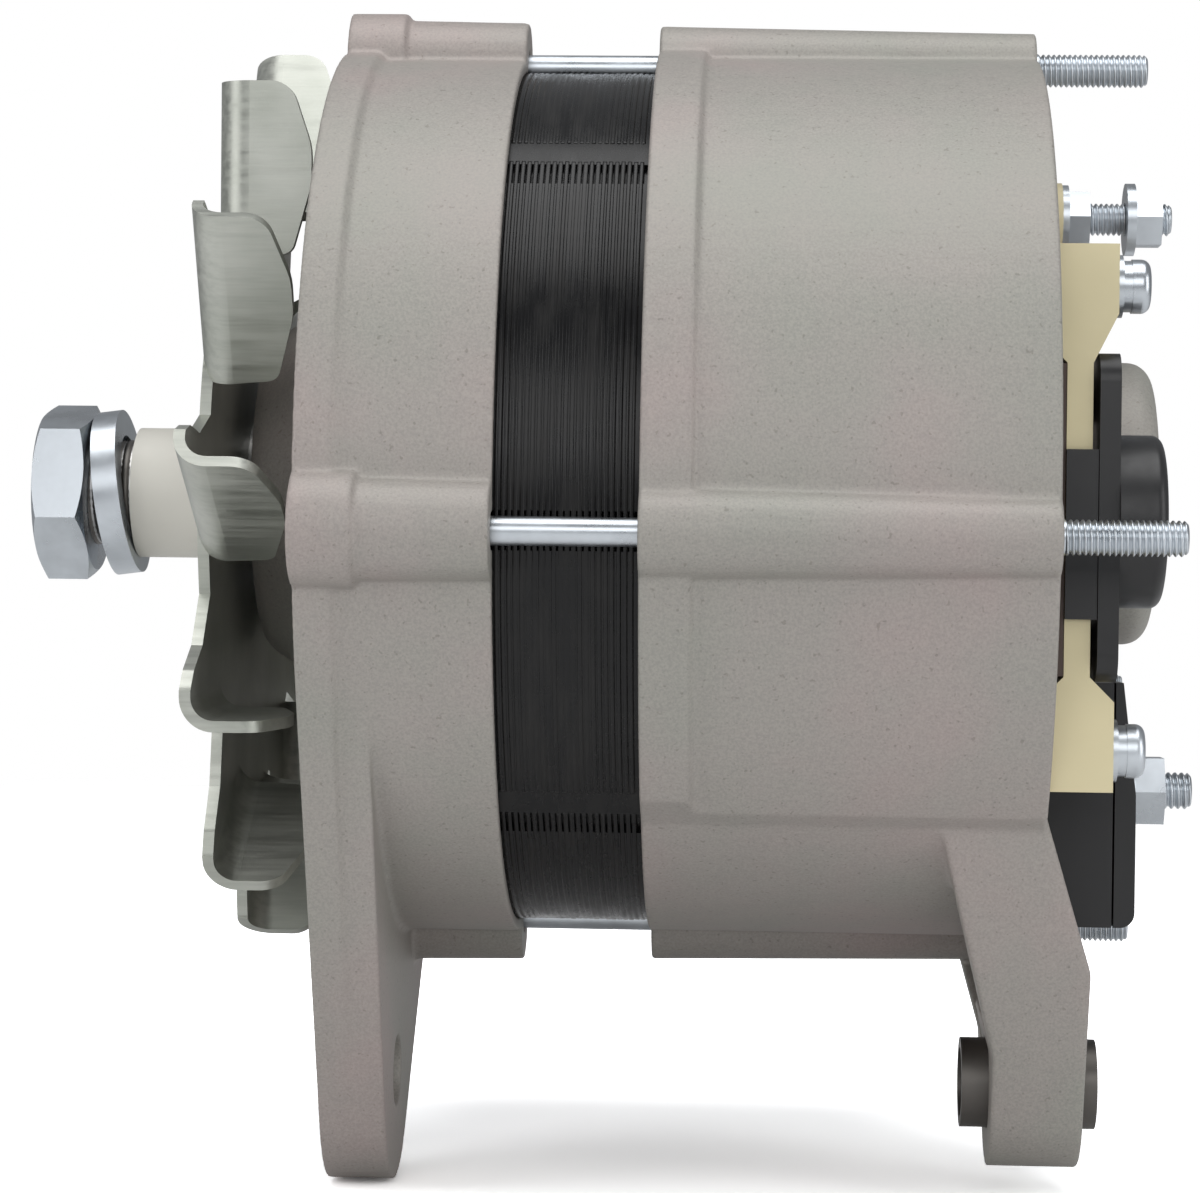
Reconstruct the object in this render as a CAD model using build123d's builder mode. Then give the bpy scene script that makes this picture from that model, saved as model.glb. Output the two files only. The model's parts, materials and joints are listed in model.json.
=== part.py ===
from build123d import *
import os
from math import cos, radians, sin

# Belt-driven alternator with an external fan. Sizes are in millimetres and degrees.
# The shaft lies along X, with the drive end at -X, the slip-ring end at +X and Z up.
# It is modelled about the shaft axis, with X = 0 in the plane of the rear through-bolt faces,
# and exported with the origin in the middle of the front pivot bore.
# Angles round the shaft start at the near side, -Y, and turn towards the underside, -Z.

# Clearances
fit_gap = 0.05
seat_gap = 0.1
air_gap = 0.4

# Stator core and winding: the castings, the rotor and the rectifier follow the core radius
core_radius = 64.5
core_length = 34.0
core_back_iron = 4.4
slot_count = 36
slot_depth = 11.0
slot_width = 3.4
slot_liner = 0.3
bolt_groove_radius = 2.9
weld_count = 4
weld_turn = 47.0
weld_width = 4.2
weld_depth = 0.9
coil_end_length = 11.0
coil_end_inset = 1.5
coil_end_margin = 5.1
coil_end_corner = 3.0
lead_radius = 0.9
lead_angles = (123.0, 161.0, 237.0)

# Castings and the gap between them
rear_bracket_length = 56.6
open_gap_length = 19.9
front_bracket_length = 27.0
front_flange_cover = 3.1
front_flange_width = 5.0
front_step = 1.1
rear_panel_cover = 2.4
rear_rim_width = 6.9
rear_rim_step = 1.1
rear_lower_cover = 1.5
rear_slope_start = 39.8
rear_slope_end = 45.4
core_ledge = 3.5
front_wall = 4.5
rear_wall = 5.0

# Through bolts and their bosses
bolt_count = 4
bolt_offset = 0.9
bolt_turn = 5.7
bolt_thread_radius = 2.5
bolt_free_radius = 2.45
bolt_free_start = 0.4
bolt_shank_radius = 2.0
bolt_thread_length = 22.0
bolt_end_length = 16.8
bolt_room_radius = 5.4
bolt_head_radius = 4.25
bolt_head_height = 5.0
bolt_head_recess = 5.2
rear_boss_radius = 6.4
front_boss_radius = 6.8
boss_head_radius = 8.1
boss_head_length = 8.7
boss_draft_angle = 0.9

# Pivot lugs, pivot bush and adjusting ear
pivot_y = -16.0
pivot_drop = 22.0
pivot_hole_radius = 5.1
front_lug_radius = 16.0
front_lug_thickness = 9.8
rear_lug_radius = 12.2
rear_lug_front = -6.0
rear_lug_back = 7.4
rear_lug_root = -14.5
rear_lug_inset = 5.0
rear_lug_rib = 6.0
rear_lug_web = 3.0
rear_lug_web_back = 2.0
rear_lug_back_start = 41.5
rear_lug_back_end = 18.5
rear_lug_front_start = 39.0
rear_lug_front_end = 5.5
bush_outer_radius = 6.6
bush_length = 19.8
ear_angle = 210.0
ear_margin = 18.9
ear_radius = 12.0
ear_thickness = 12.0
ear_thread_radius = 3.4

# Vents
front_vent_count = 12
front_vent_hub_gap = 5.0
front_vent_rim_gap = 9.0
front_vent_arc = 19.0
rear_vent_pitch = 30.0
rear_vent_first = 60.0
rear_vent_last = 300.0
rear_vent_hub_gap = 4.5
rear_vent_depth = 11.0
rear_vent_arc = 19.0
vent_corner = 2.0

# Rotor
pole_length = 49.0
pole_disc_thickness = 12.0
pole_count = 6
pole_tip_inset = 2.4
pole_root_depth = 11.7
pole_tip_depth = 3.5
pole_disc_inset = 3.0
pole_root_width = 21.0
pole_tip_width = 9.6
field_core_inset = 10.0
bobbin_wall = 1.2
bobbin_inset = 1.5
field_coil_inset = 1.1
shaft_journal_radius = 8.5
shaft_thread_radius = 7.9
shaft_thread_start = 0.8
shaft_collar_radius = 11.0
shaft_pole_radius = 9.0
shaft_slip_radius = 8.4
shaft_rear_radius = 7.5
shaft_end = 15.0

# Slip rings and brushes
slip_ring_radius = 13.2
slip_ring_bore = 12.2
slip_ring_width = 8.0
slip_ring_centres = (-26.0, -14.0)
slip_carrier_margin = 1.2
brush_thickness = 5.0
brush_width = 8.0
brush_length = 15.0
spring_length = 12.8
spring_radius = 1.7
spring_wire_radius = 0.3
spring_turns = 5

# Bearings, front and rear
bearing_front_bore = shaft_journal_radius
bearing_front_radius = 23.5
bearing_front_width = 14.0
bearing_front_ball = 4.36
bearing_front_ball_count = 7
bearing_front_start = -113.0
bearing_rear_bore = shaft_rear_radius
bearing_rear_radius = 17.5
bearing_rear_width = 11.0
bearing_rear_ball = 3.0
bearing_rear_ball_count = 8
bearing_rear_start = 3.0
race_share = 0.27
cage_thickness = 1.6
cage_width_share = 0.75

# Bearing hubs
front_hub_nose = 3.0
front_hub_nose_radius = 24.5
front_hub_root_radius = 31.0
front_hub_opening = 13.5
rear_hub_radius = 21.5
rear_hub_end = 18.3
rear_hub_corner = 3.5
rear_hub_cap = 2.9
retainer_thickness = 1.8
retainer_bore = 15.0
retainer_radius = 29.5
retainer_screw_circle = 26.6
retainer_screw_radius = 1.9
retainer_screw_length = 8.0
retainer_screw_head = 3.4
retainer_screw_head_height = 1.6

# Pulley seat parts at the drive end
nut_flats = 24.0
nut_thickness = 7.9
nut_front = -151.2
nut_turn = 18.0
nut_chamfer = 1.4
lock_washer_radius = 12.65
lock_washer_bore = 8.65
lock_washer_thickness = 3.8
lock_washer_tilt = 7.5
lock_washer_slit = 1.2
sleeve_radius = 10.0
spacer_radius = 12.0

# Fan: the spacing of its blades is uneven and repeats after half a turn
fan_front = -119.9
fan_sheet = 1.6
fan_overhang = 0.4
fan_first_blade = -90.0
fan_blade_pitches = (30.0, 27.6, 31.0, 32.0, 28.4, 31.0)
fan_blade_length = 26.0
fan_blade_lean = 28.0
fan_blade_height = 13.9
fan_bend_radius = 4.8
fan_bend_overlap = 1.0
fan_tip_drop = 3.2
fan_tip_corner = 4.0
fan_crest_start = 9.5
fan_crest_end = 15.0
fan_crest_corner = 10.0
fan_inner_drop = 2.8
fan_inner_slope = 1.0
fan_inner_corner = 2.0
fan_disc_depth = 22.0
fan_petal_depths = (3.0, 6.2, 13.7, 22.8)
fan_petal_angles = (-4.6, -5.6, -5.8, -11.5)
fan_petal_corner = 1.6

# Rectifier inside the rear bracket
sink_thickness = 2.5
positive_sink_back = -6.5
positive_sink_margin = 13.5
positive_sink_width = 21.5
negative_sink_back = -14.0
negative_sink_margin = 1.5
negative_sink_width = 19.5
sink_start = 84.0
sink_end = 276.0
diode_radius = 5.4
diode_height = 7.0
diode_pin_radius = 0.7
diode_pin_length = 6.0
positive_diode_inset = 10.0
positive_diode_angles = (147.0, 180.0, 213.0)
negative_diode_inset = 13.6
negative_diode_angles = (105.0, 180.0, 255.0)
sink_post_radius = 3.6
sink_post_angles = (142.0, 218.0)

# Rear terminals
d_stud_radius = 2.5
d_stud_free_radius = 2.3
d_stud_inset = 4.1
d_stud_end = 21.4
d_insulator_radius = 5.5
d_insulator_end = 4.7
d_insulator_neck = 3.9
d_washer_radius = 5.2
d_washer_thickness = 1.0
d_nut_flats = 8.0
d_nut_thickness = 3.2
d_flange_nut_front = 14.4
d_flange_nut_flange = 1.4
d_flange_nut_flange_radius = 5.5
d_flange_nut_length = 5.4
b_stud_radius = 3.0
b_stud_free_radius = 2.8
b_stud_inset = 3.8
b_stud_end = 25.5
b_washer_radius = 6.0
b_nut_flats = 10.0
b_nut_thickness = 4.6
b_nut_front = 16.6
stud_head_height = 3.0
stud_head_radius = 4.6
stud_free_gap = 0.5
block_near = -16.0
block_far = 14.0
block_hub_gap = 5.5
block_drop = 19.6
block_split = 12.2
block_seam = 0.3
block_back_top = 13.6
block_back_bottom = 15.6
block_corner = 2.2
small_stud_radius = 2.0
small_stud_y = 19.0
small_stud_z = -28.4
small_stud_end = 16.8

# Near-side carrier, clip, strip and their screws
carrier_near = -50.0
carrier_bar_depth = 8.0
carrier_block_depth = 13.0
carrier_top = 34.5
carrier_bottom = -41.4
carrier_block_back = 8.8
carrier_bar_front = 1.8
carrier_bar_back = 5.4
carrier_bar_top = 18.0
carrier_bar_bottom = -25.5
clip_wall = 0.8
clip_top = 6.0
clip_bottom = -17.5
strip_thickness = 1.7
strip_top = 17.9
strip_bottom = -25.4
m4_radius = 2.0
m4_head_radius = 3.8
m4_head_height = 2.6
m4_washer_radius = 4.4
m4_washer_thickness = 1.0
m4_spring_washer_radius = 3.6
m4_spring_washer_thickness = 1.3
m4_depth = 7.0
carrier_screw_y = -43.0
carrier_screw_top_z = 29.2
carrier_screw_bottom_z = -35.9

# Regulator and brush holder
regulator_y = -40.0
regulator_z = -3.7
regulator_front = 6.3
regulator_flange_thickness = 2.9
regulator_flange_near = -51.0
regulator_flange_far = -28.0
regulator_flange_top = 19.5
regulator_flange_bottom = -26.2
regulator_flange_corner = 4.0
drum_radius = 12.2
drum_end = 15.9
drum_corner = 1.6
regulator_screw_y = -33.5
regulator_screw_top_z = 14.5
regulator_screw_bottom_z = -22.0
regulator_post_radius = 4.0
holder_front = -32.0
holder_back = -6.6
holder_far = -14.6
holder_height = 14.0
holder_neck_near = -40.5
holder_neck_far = -26.0
holder_window_margin = 1.2
holder_end_wall = 2.0

# Stations along the shaft
rear_rim_x = -rear_bracket_length
front_rim_x = rear_rim_x - open_gap_length
front_face_x = front_rim_x - front_bracket_length
core_middle = (rear_rim_x + front_rim_x) / 2
core_front = core_middle - core_length / 2
core_back = core_middle + core_length / 2
front_wall_x = front_face_x + front_wall
rear_wall_x = -rear_wall
rotor_front = core_middle - pole_length / 2
rotor_back = core_middle + pole_length / 2
pole_inner_front = rotor_front + pole_disc_thickness
pole_inner_back = rotor_back - pole_disc_thickness
nut_back = nut_front + nut_thickness
bearing_front_end = bearing_front_start + bearing_front_width
bearing_rear_end = bearing_rear_start + bearing_rear_width
front_hub_start = bearing_front_start - front_hub_nose
tipped_reach = lock_washer_radius * sin(radians(lock_washer_tilt))
tipped_half = lock_washer_thickness / 2 * cos(radians(lock_washer_tilt))
lock_washer_middle = nut_back + tipped_reach + tipped_half + fit_gap
washer_foot = sleeve_radius * sin(radians(lock_washer_tilt)) + tipped_half
sleeve_front = lock_washer_middle + washer_foot + fit_gap
brush_tail = -slip_ring_bore - brush_length
guide_end = brush_tail - spring_length
holder_near = guide_end - holder_end_wall

# Radii and heights that follow the stator core
core_bore_radius = core_radius - core_back_iron - slot_depth
coil_end_inner = core_bore_radius + coil_end_inset
coil_end_outer = core_radius - coil_end_margin
lead_circle_radius = (coil_end_inner + coil_end_outer) / 2
cavity_radius = core_radius - core_ledge
bolt_circle_radius = core_radius + bolt_offset
front_flange_radius = core_radius + front_flange_cover
front_panel_radius = front_flange_radius - front_step
rear_panel_radius = core_radius + rear_panel_cover
rear_rim_radius = rear_panel_radius + rear_rim_step
rear_lower_radius = core_radius + rear_lower_cover
rear_lug_base_radius = rear_lower_radius - rear_lug_inset
front_vent_inner = front_hub_root_radius + front_vent_hub_gap
front_vent_outer = cavity_radius - front_vent_rim_gap
rear_vent_inner = rear_hub_radius + rear_vent_hub_gap
rear_vent_outer = rear_vent_inner + rear_vent_depth
pivot_z = -core_radius - pivot_drop
ear_distance = core_radius + ear_margin
rotor_radius = core_bore_radius - air_gap
pole_tip_inner = rotor_radius - pole_tip_depth
pole_root_inner = rotor_radius - pole_root_depth
pole_disc_radius = pole_root_inner - pole_disc_inset
field_core_radius = pole_disc_radius - field_core_inset
bobbin_flange_radius = pole_root_inner - bobbin_inset
field_coil_radius = bobbin_flange_radius - field_coil_inset
fan_radius = front_flange_radius + fan_overhang
fan_disc_radius = fan_radius - fan_disc_depth
positive_sink_outer = cavity_radius - positive_sink_margin
positive_sink_inner = positive_sink_outer - positive_sink_width
positive_diode_circle = positive_sink_inner + positive_diode_inset
negative_sink_outer = cavity_radius - negative_sink_margin
negative_sink_inner = negative_sink_outer - negative_sink_width
negative_diode_circle = negative_sink_inner + negative_diode_inset
d_stud_z = positive_sink_outer - d_stud_inset
b_stud_z = b_stud_inset - positive_sink_outer
block_top = -rear_hub_radius - block_hub_gap
block_bottom = b_stud_z - block_drop
through = 2 * bolt_circle_radius


def station(x):
    """The plane across the shaft at x: its sketch axes are Y and Z."""
    return Plane.YZ.offset(x)


def around(angle, radius):
    """Y and Z of the point at an angle and radius round the shaft."""
    return (-radius * cos(radians(angle)), -radius * sin(radians(angle)))


def ring_of(count, turn, radius):
    """Evenly spaced points round the shaft."""
    return [around(turn + 360 * index / count, radius) for index in range(count)]


def lathe(*outline):
    """A closed (x, radius) outline, to be revolved about the shaft."""
    with BuildSketch(Plane.XZ) as section:
        with BuildLine():
            Polyline(*outline, close=True)
        make_face()
    return section.sketch


def band(start, end, inner, outer):
    """The lathe outline of a plain ring."""
    return lathe((start, inner), (end, inner), (end, outer), (start, outer))


def sector(inner, outer, middle, arc, corner):
    """A rounded piece of a flat ring, in the Y and Z of a station plane."""
    half = arc / 2
    inner_arc = [around(middle + side, inner) for side in (-half, 0, half)]
    outer_arc = [around(middle + side, outer) for side in (half, 0, -half)]
    with BuildSketch() as piece:
        with BuildLine():
            ThreePointArc(*inner_arc)
            Line(inner_arc[2], outer_arc[0])
            ThreePointArc(*outer_arc)
            Line(outer_arc[2], inner_arc[0])
        make_face()
        if corner:
            fillet(piece.vertices(), corner)
    return piece.sketch


def side_outline(*points):
    """A closed outline in X and Z, seen from the near side."""
    with BuildSketch() as outline:
        with BuildLine():
            Polyline(*points, close=True)
        make_face()
    return outline.sketch


bolt_points = ring_of(bolt_count, bolt_turn, bolt_circle_radius)
bottom_bolt = bolt_points[1]
pivot_point = (pivot_y, pivot_z)
ear_point = around(ear_angle, ear_distance)

# Front bracket: flange, stepped wall, bolt bosses, pivot lug, adjusting ear and bearing hub
with BuildPart() as front_bracket:
    step_end = front_face_x + front_flange_width + front_step
    revolve(
        lathe(
            (front_face_x, 0),
            (front_face_x, front_flange_radius),
            (front_face_x + front_flange_width, front_flange_radius),
            (step_end, front_panel_radius),
            (front_rim_x, front_panel_radius),
            (front_rim_x, 0),
        ),
        axis=Axis.X,
    )
    with BuildSketch(station(front_rim_x)):
        with Locations(*bolt_points):
            Circle(front_boss_radius)
    extrude(amount=-front_bracket_length, taper=-boss_draft_angle)
    with BuildSketch(station(front_face_x)):
        with Locations(*bolt_points):
            Circle(boss_head_radius)
    extrude(amount=boss_head_length)
    # Pivot lug and adjusting ear, each wider over the width of the flange
    for arm_point, arm_radius, arm_thickness in (
        (pivot_point, front_lug_radius, front_lug_thickness),
        (ear_point, ear_radius, ear_thickness),
    ):
        for base_radius, arm_depth in (
            (front_flange_radius, front_flange_width),
            (front_panel_radius, arm_thickness),
        ):
            with BuildSketch(station(front_face_x)):
                Circle(base_radius)
                with Locations(arm_point):
                    Circle(arm_radius)
                make_hull()
            extrude(amount=arm_depth)
    # Hub for the front bearing
    revolve(
        lathe(
            (front_hub_start, 0),
            (front_hub_start, front_hub_nose_radius - front_hub_nose / 2),
            (front_hub_start + front_hub_nose / 2, front_hub_nose_radius),
            (front_face_x - front_hub_nose, front_hub_root_radius - front_hub_nose / 2),
            (front_face_x, front_hub_root_radius),
            (front_wall_x, front_hub_root_radius),
            (front_wall_x, 0),
        ),
        axis=Axis.X,
    )
    # Inside: the stator seat, the cavity, the bearing seat and the shaft opening
    revolve(
        lathe(
            (front_wall_x, 0),
            (front_wall_x, cavity_radius),
            (core_front, cavity_radius),
            (core_front, core_radius + fit_gap),
            (front_rim_x, core_radius + fit_gap),
            (front_rim_x, 0),
        ),
        axis=Axis.X,
        mode=Mode.SUBTRACT,
    )
    revolve(
        band(bearing_front_start, front_wall_x, 0, bearing_front_radius + fit_gap),
        axis=Axis.X,
        mode=Mode.SUBTRACT,
    )
    revolve(
        band(front_hub_start, bearing_front_start, 0, front_hub_opening),
        axis=Axis.X,
        mode=Mode.SUBTRACT,
    )
    for vent in range(front_vent_count):
        vent_middle = (vent + 0.5) * 360 / front_vent_count
        extrude(
            station(front_face_x)
            * sector(front_vent_inner, front_vent_outer, vent_middle, front_vent_arc, vent_corner),
            amount=front_wall,
            mode=Mode.SUBTRACT,
        )
    # Bolt holes with recessed seats for the heads
    with BuildSketch(station(front_face_x)):
        with Locations(*bolt_points):
            Circle(bolt_thread_radius + fit_gap)
    extrude(amount=front_bracket_length, mode=Mode.SUBTRACT)
    with BuildSketch(station(front_face_x)):
        with Locations(*bolt_points):
            Circle(bolt_head_radius + seat_gap)
    extrude(amount=bolt_head_recess, mode=Mode.SUBTRACT)
    with BuildSketch(station(front_face_x)):
        with Locations(pivot_point):
            Circle(pivot_hole_radius)
    extrude(amount=front_lug_thickness, mode=Mode.SUBTRACT)
    with BuildSketch(station(front_face_x)):
        with Locations(ear_point):
            Circle(ear_thread_radius)
    extrude(amount=ear_thickness, mode=Mode.SUBTRACT)
    # Threads for the retainer screws
    with BuildSketch(station(front_wall_x)):
        with Locations(*ring_of(bolt_count, bolt_turn, retainer_screw_circle)):
            Circle(retainer_screw_radius + fit_gap)
    extrude(amount=-retainer_screw_length, mode=Mode.SUBTRACT)

# Rear pivot lug: two ribs and a web that carry the boss for the bush
with BuildPart() as rear_lug:
    with BuildSketch(station(rear_lug_root)):
        Circle(rear_lug_base_radius)
        with Locations(pivot_point):
            Circle(rear_lug_radius)
        make_hull()
    extrude(amount=rear_lug_back - rear_lug_root)
    lug_floor = pivot_z - rear_lug_radius
    front_start = pivot_z + rear_lug_front_start
    back_start = pivot_z + rear_lug_back_start
    extrude(
        Plane.XZ
        * side_outline(
            (rear_lug_root, front_start),
            (rear_wall_x, front_start),
            (0, back_start),
            (rear_lug_back, pivot_z + rear_lug_back_end),
            (rear_lug_back, lug_floor),
            (rear_lug_front, lug_floor),
            (rear_lug_front, pivot_z + rear_lug_front_end),
        ),
        amount=through,
        both=True,
        mode=Mode.INTERSECT,
    )
    with BuildSketch(station(rear_lug_web_back)) as hollow:
        Circle(rear_lug_base_radius - rear_lug_rib)
        with Locations(pivot_point):
            Circle(rear_lug_radius - rear_lug_rib)
        make_hull()
        with Locations(pivot_point):
            Circle(rear_lug_radius, mode=Mode.SUBTRACT)
    extrude(hollow.sketch, amount=rear_lug_back, mode=Mode.SUBTRACT)
    extrude(
        hollow.sketch.moved(Location((-rear_lug_web, 0, 0))),
        amount=rear_lug_root - rear_lug_web,
        mode=Mode.SUBTRACT,
    )

# Closed hub for the rear bearing
with BuildPart() as rear_hub:
    revolve(band(rear_wall_x, rear_hub_end, 0, rear_hub_radius), axis=Axis.X)
    hub_rim = rear_hub.edges().filter_by(GeomType.CIRCLE).sort_by(Axis.X)[-1]
    fillet(hub_rim, rear_hub_corner)

# Rear bracket: rim, wall, drafted bolt bosses, lug, bearing hub and brush window
with BuildPart() as rear_bracket:
    rim_end = rear_rim_x + rear_rim_width
    revolve(
        lathe(
            (rear_rim_x, 0),
            (rear_rim_x, rear_rim_radius),
            (rim_end, rear_rim_radius),
            (rim_end + rear_rim_step / 2, rear_panel_radius),
            (0, rear_panel_radius),
            (0, 0),
        ),
        axis=Axis.X,
    )
    # The lower part is slimmer, below a slope on each side
    slope_top = Vector(*around(rear_slope_start, rear_rim_radius))
    slope_foot = Vector(*around(rear_slope_end, rear_lower_radius))
    slope_out = 2 * slope_top - slope_foot
    with BuildSketch(station(rear_rim_x)):
        Polygon(
            (slope_out.X, slope_out.Y),
            (slope_foot.X, slope_foot.Y),
            (-slope_foot.X, slope_foot.Y),
            (-slope_out.X, slope_out.Y),
            (-slope_out.X, -through),
            (slope_out.X, -through),
            align=None,
        )
        Circle(rear_lower_radius, mode=Mode.SUBTRACT)
    extrude(amount=rear_bracket_length, mode=Mode.SUBTRACT)
    with BuildSketch(station(rear_rim_x)):
        with Locations(*bolt_points):
            Circle(rear_boss_radius)
    extrude(amount=rear_bracket_length, taper=boss_draft_angle)
    add(rear_lug.part)
    add(rear_hub.part)
    # Posts that the regulator stands on
    with BuildSketch(station(0)):
        with Locations(
            (regulator_screw_y, regulator_screw_top_z),
            (regulator_screw_y, regulator_screw_bottom_z),
        ):
            Circle(regulator_post_radius)
    extrude(amount=regulator_front)
    # Inside: the stator seat, the cavity, the bearing seat and the shaft end
    revolve(
        lathe(
            (rear_rim_x, 0),
            (rear_rim_x, core_radius + fit_gap),
            (core_back, core_radius + fit_gap),
            (core_back, cavity_radius),
            (rear_wall_x, cavity_radius),
            (rear_wall_x, 0),
        ),
        axis=Axis.X,
        mode=Mode.SUBTRACT,
    )
    revolve(
        lathe(
            (rear_wall_x, 0),
            (rear_wall_x, bearing_rear_radius + fit_gap),
            (bearing_rear_end + seat_gap, bearing_rear_radius + fit_gap),
            (bearing_rear_end + seat_gap, shaft_collar_radius),
            (rear_hub_end - rear_hub_cap, shaft_collar_radius),
            (rear_hub_end - rear_hub_cap, 0),
        ),
        axis=Axis.X,
        mode=Mode.SUBTRACT,
    )
    vent_middle = rear_vent_first
    while vent_middle <= rear_vent_last:
        extrude(
            station(rear_wall_x)
            * sector(rear_vent_inner, rear_vent_outer, vent_middle, rear_vent_arc, vent_corner),
            amount=rear_wall,
            mode=Mode.SUBTRACT,
        )
        vent_middle += rear_vent_pitch
    # Window for the neck of the brush holder
    with BuildSketch(station(rear_wall_x)):
        with Locations(((holder_neck_near + holder_neck_far) / 2, regulator_z)):
            RectangleRounded(
                holder_neck_far - holder_neck_near + 2 * holder_window_margin,
                holder_height + 2 * holder_window_margin,
                vent_corner,
            )
    extrude(amount=rear_wall, mode=Mode.SUBTRACT)
    # Seat of the terminal block in the top of the lug, and room round the bottom bolt
    with BuildSketch(station(0)):
        with Locations(((block_near + block_far) / 2, (block_top + block_bottom) / 2)):
            Rectangle(
                block_far - block_near + 2 * seat_gap,
                block_top - block_bottom + 2 * seat_gap,
            )
        with Locations(bottom_bolt):
            Circle(bolt_room_radius)
    extrude(amount=rear_lug_back, mode=Mode.SUBTRACT)
    # Threaded holes for the through bolts, stud holes and the hole of the pivot bush
    with BuildSketch(station(rear_rim_x)):
        with Locations(*bolt_points):
            Circle(bolt_thread_radius + fit_gap)
    extrude(amount=rear_bracket_length, mode=Mode.SUBTRACT)
    with BuildSketch(station(rear_wall_x)):
        with Locations((0, d_stud_z), (0, b_stud_z)):
            Circle(d_insulator_neck + fit_gap)
        with Locations((small_stud_y, small_stud_z)):
            Circle(small_stud_radius + fit_gap)
    extrude(amount=rear_wall, mode=Mode.SUBTRACT)
    with BuildSketch(station(rear_lug_root)):
        with Locations(pivot_point):
            Circle(bush_outer_radius + fit_gap)
    extrude(amount=rear_lug_back - rear_lug_root, mode=Mode.SUBTRACT)
    # Threads for the carrier and regulator screws
    with BuildSketch(station(regulator_front)):
        with Locations(
            (regulator_screw_y, regulator_screw_top_z),
            (regulator_screw_y, regulator_screw_bottom_z),
        ):
            Circle(m4_radius + fit_gap)
    extrude(amount=-m4_depth, mode=Mode.SUBTRACT)
    with BuildSketch(station(0)):
        with Locations(
            (carrier_screw_y, carrier_screw_top_z),
            (carrier_screw_y, carrier_screw_bottom_z),
        ):
            Circle(m4_radius + fit_gap)
    extrude(amount=-rear_wall, mode=Mode.SUBTRACT)

# Stator core: slotted laminations with grooves for the bolts and the welds
with BuildPart() as stator_core:
    with BuildSketch(station(core_front)):
        Circle(core_radius)
        Circle(core_bore_radius, mode=Mode.SUBTRACT)
        with Locations(*bolt_points):
            Circle(bolt_groove_radius, mode=Mode.SUBTRACT)
        with PolarLocations(core_bore_radius - slot_liner, slot_count):
            Rectangle(
                slot_depth + slot_liner,
                slot_width,
                align=(Align.MIN, Align.CENTER),
                mode=Mode.SUBTRACT,
            )
        with PolarLocations(core_radius, weld_count, start_angle=180 + weld_turn):
            Rectangle(2 * weld_depth, weld_width, mode=Mode.SUBTRACT)
    extrude(amount=core_length)

# Stator winding: bars through the slots and a rounded coil end at each side
with BuildPart() as stator_winding:
    with BuildSketch(station(core_front - seat_gap)):
        with PolarLocations(core_bore_radius + slot_liner + coil_end_corner, slot_count):
            Rectangle(
                slot_depth - 2 * slot_liner - coil_end_corner,
                slot_width - 2 * slot_liner,
                align=(Align.MIN, Align.CENTER),
            )
    extrude(amount=core_length + 2 * seat_gap)
    for coil_start in (core_front - seat_gap - coil_end_length, core_back + seat_gap):
        with BuildSketch(Plane.XZ):
            with Locations((coil_start + coil_end_length / 2, (coil_end_inner + coil_end_outer) / 2)):
                RectangleRounded(coil_end_length, coil_end_outer - coil_end_inner, coil_end_corner)
        revolve(axis=Axis.X)

# Three phase leads from the coil end to the rectifier
with BuildPart() as phase_leads:
    lead_start = core_back + 2 * seat_gap + coil_end_length
    lead_end = negative_sink_back - sink_thickness - diode_pin_length
    with BuildSketch(station(lead_start)):
        with Locations(*[around(angle, lead_circle_radius) for angle in lead_angles]):
            Circle(lead_radius)
    extrude(amount=lead_end - lead_start)

# Through bolts with recessed heads; their threaded ends stand out at the rear
with BuildPart() as through_bolts:
    bolt_seat = front_face_x + bolt_head_recess
    with BuildSketch(station(bolt_seat - bolt_head_height)):
        with Locations(*bolt_points):
            Circle(bolt_head_radius)
    extrude(amount=bolt_head_height)
    with BuildSketch(station(bolt_seat)):
        with Locations(*bolt_points):
            Circle(bolt_shank_radius)
    extrude(amount=bolt_end_length - bolt_seat)
    bolt_thread_start = bolt_end_length - bolt_thread_length
    for thread_start, thread_end, thread_radius in (
        (bolt_thread_start, bolt_free_start, bolt_thread_radius),
        (bolt_free_start, bolt_end_length, bolt_free_radius),
    ):
        with BuildSketch(station(thread_start)):
            with Locations(*bolt_points):
                Circle(thread_radius)
        extrude(amount=thread_end - thread_start)

# Pivot bush, a steel tube that slides in the rear lug until the lug clamps the bracket
with BuildPart() as pivot_bush:
    with BuildSketch(station(-bush_length / 2)):
        with Locations(pivot_point):
            Circle(bush_outer_radius)
            Circle(pivot_hole_radius, mode=Mode.SUBTRACT)
    extrude(amount=bush_length)


def bearing(start, width, bore, outer, ball, count):
    """Inner race, outer race, balls and cage of a deep-groove bearing."""
    middle = start + width / 2
    pitch = (bore + outer) / 2
    wall = (outer - bore) * race_share
    with BuildSketch(Plane.XZ) as groove:
        with Locations((middle, pitch)):
            Circle(ball + fit_gap)
    with BuildPart() as inner:
        revolve(band(start, start + width, bore + fit_gap, bore + wall), axis=Axis.X)
        revolve(groove.sketch, axis=Axis.X, mode=Mode.SUBTRACT)
    with BuildPart() as ring:
        revolve(band(start, start + width, outer - wall, outer), axis=Axis.X)
        revolve(groove.sketch, axis=Axis.X, mode=Mode.SUBTRACT)
    ball_points = [(middle, *point) for point in ring_of(count, 0, pitch)]
    with BuildPart() as balls:
        with Locations(*ball_points):
            Sphere(ball)
    half_cage = cage_width_share * width / 2
    half_wall = cage_thickness / 2
    with BuildPart() as cage:
        revolve(
            band(middle - half_cage, middle + half_cage, pitch - half_wall, pitch + half_wall),
            axis=Axis.X,
        )
        with Locations(*ball_points):
            Sphere(ball + fit_gap, mode=Mode.SUBTRACT)
    return inner, ring, balls, cage


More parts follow.
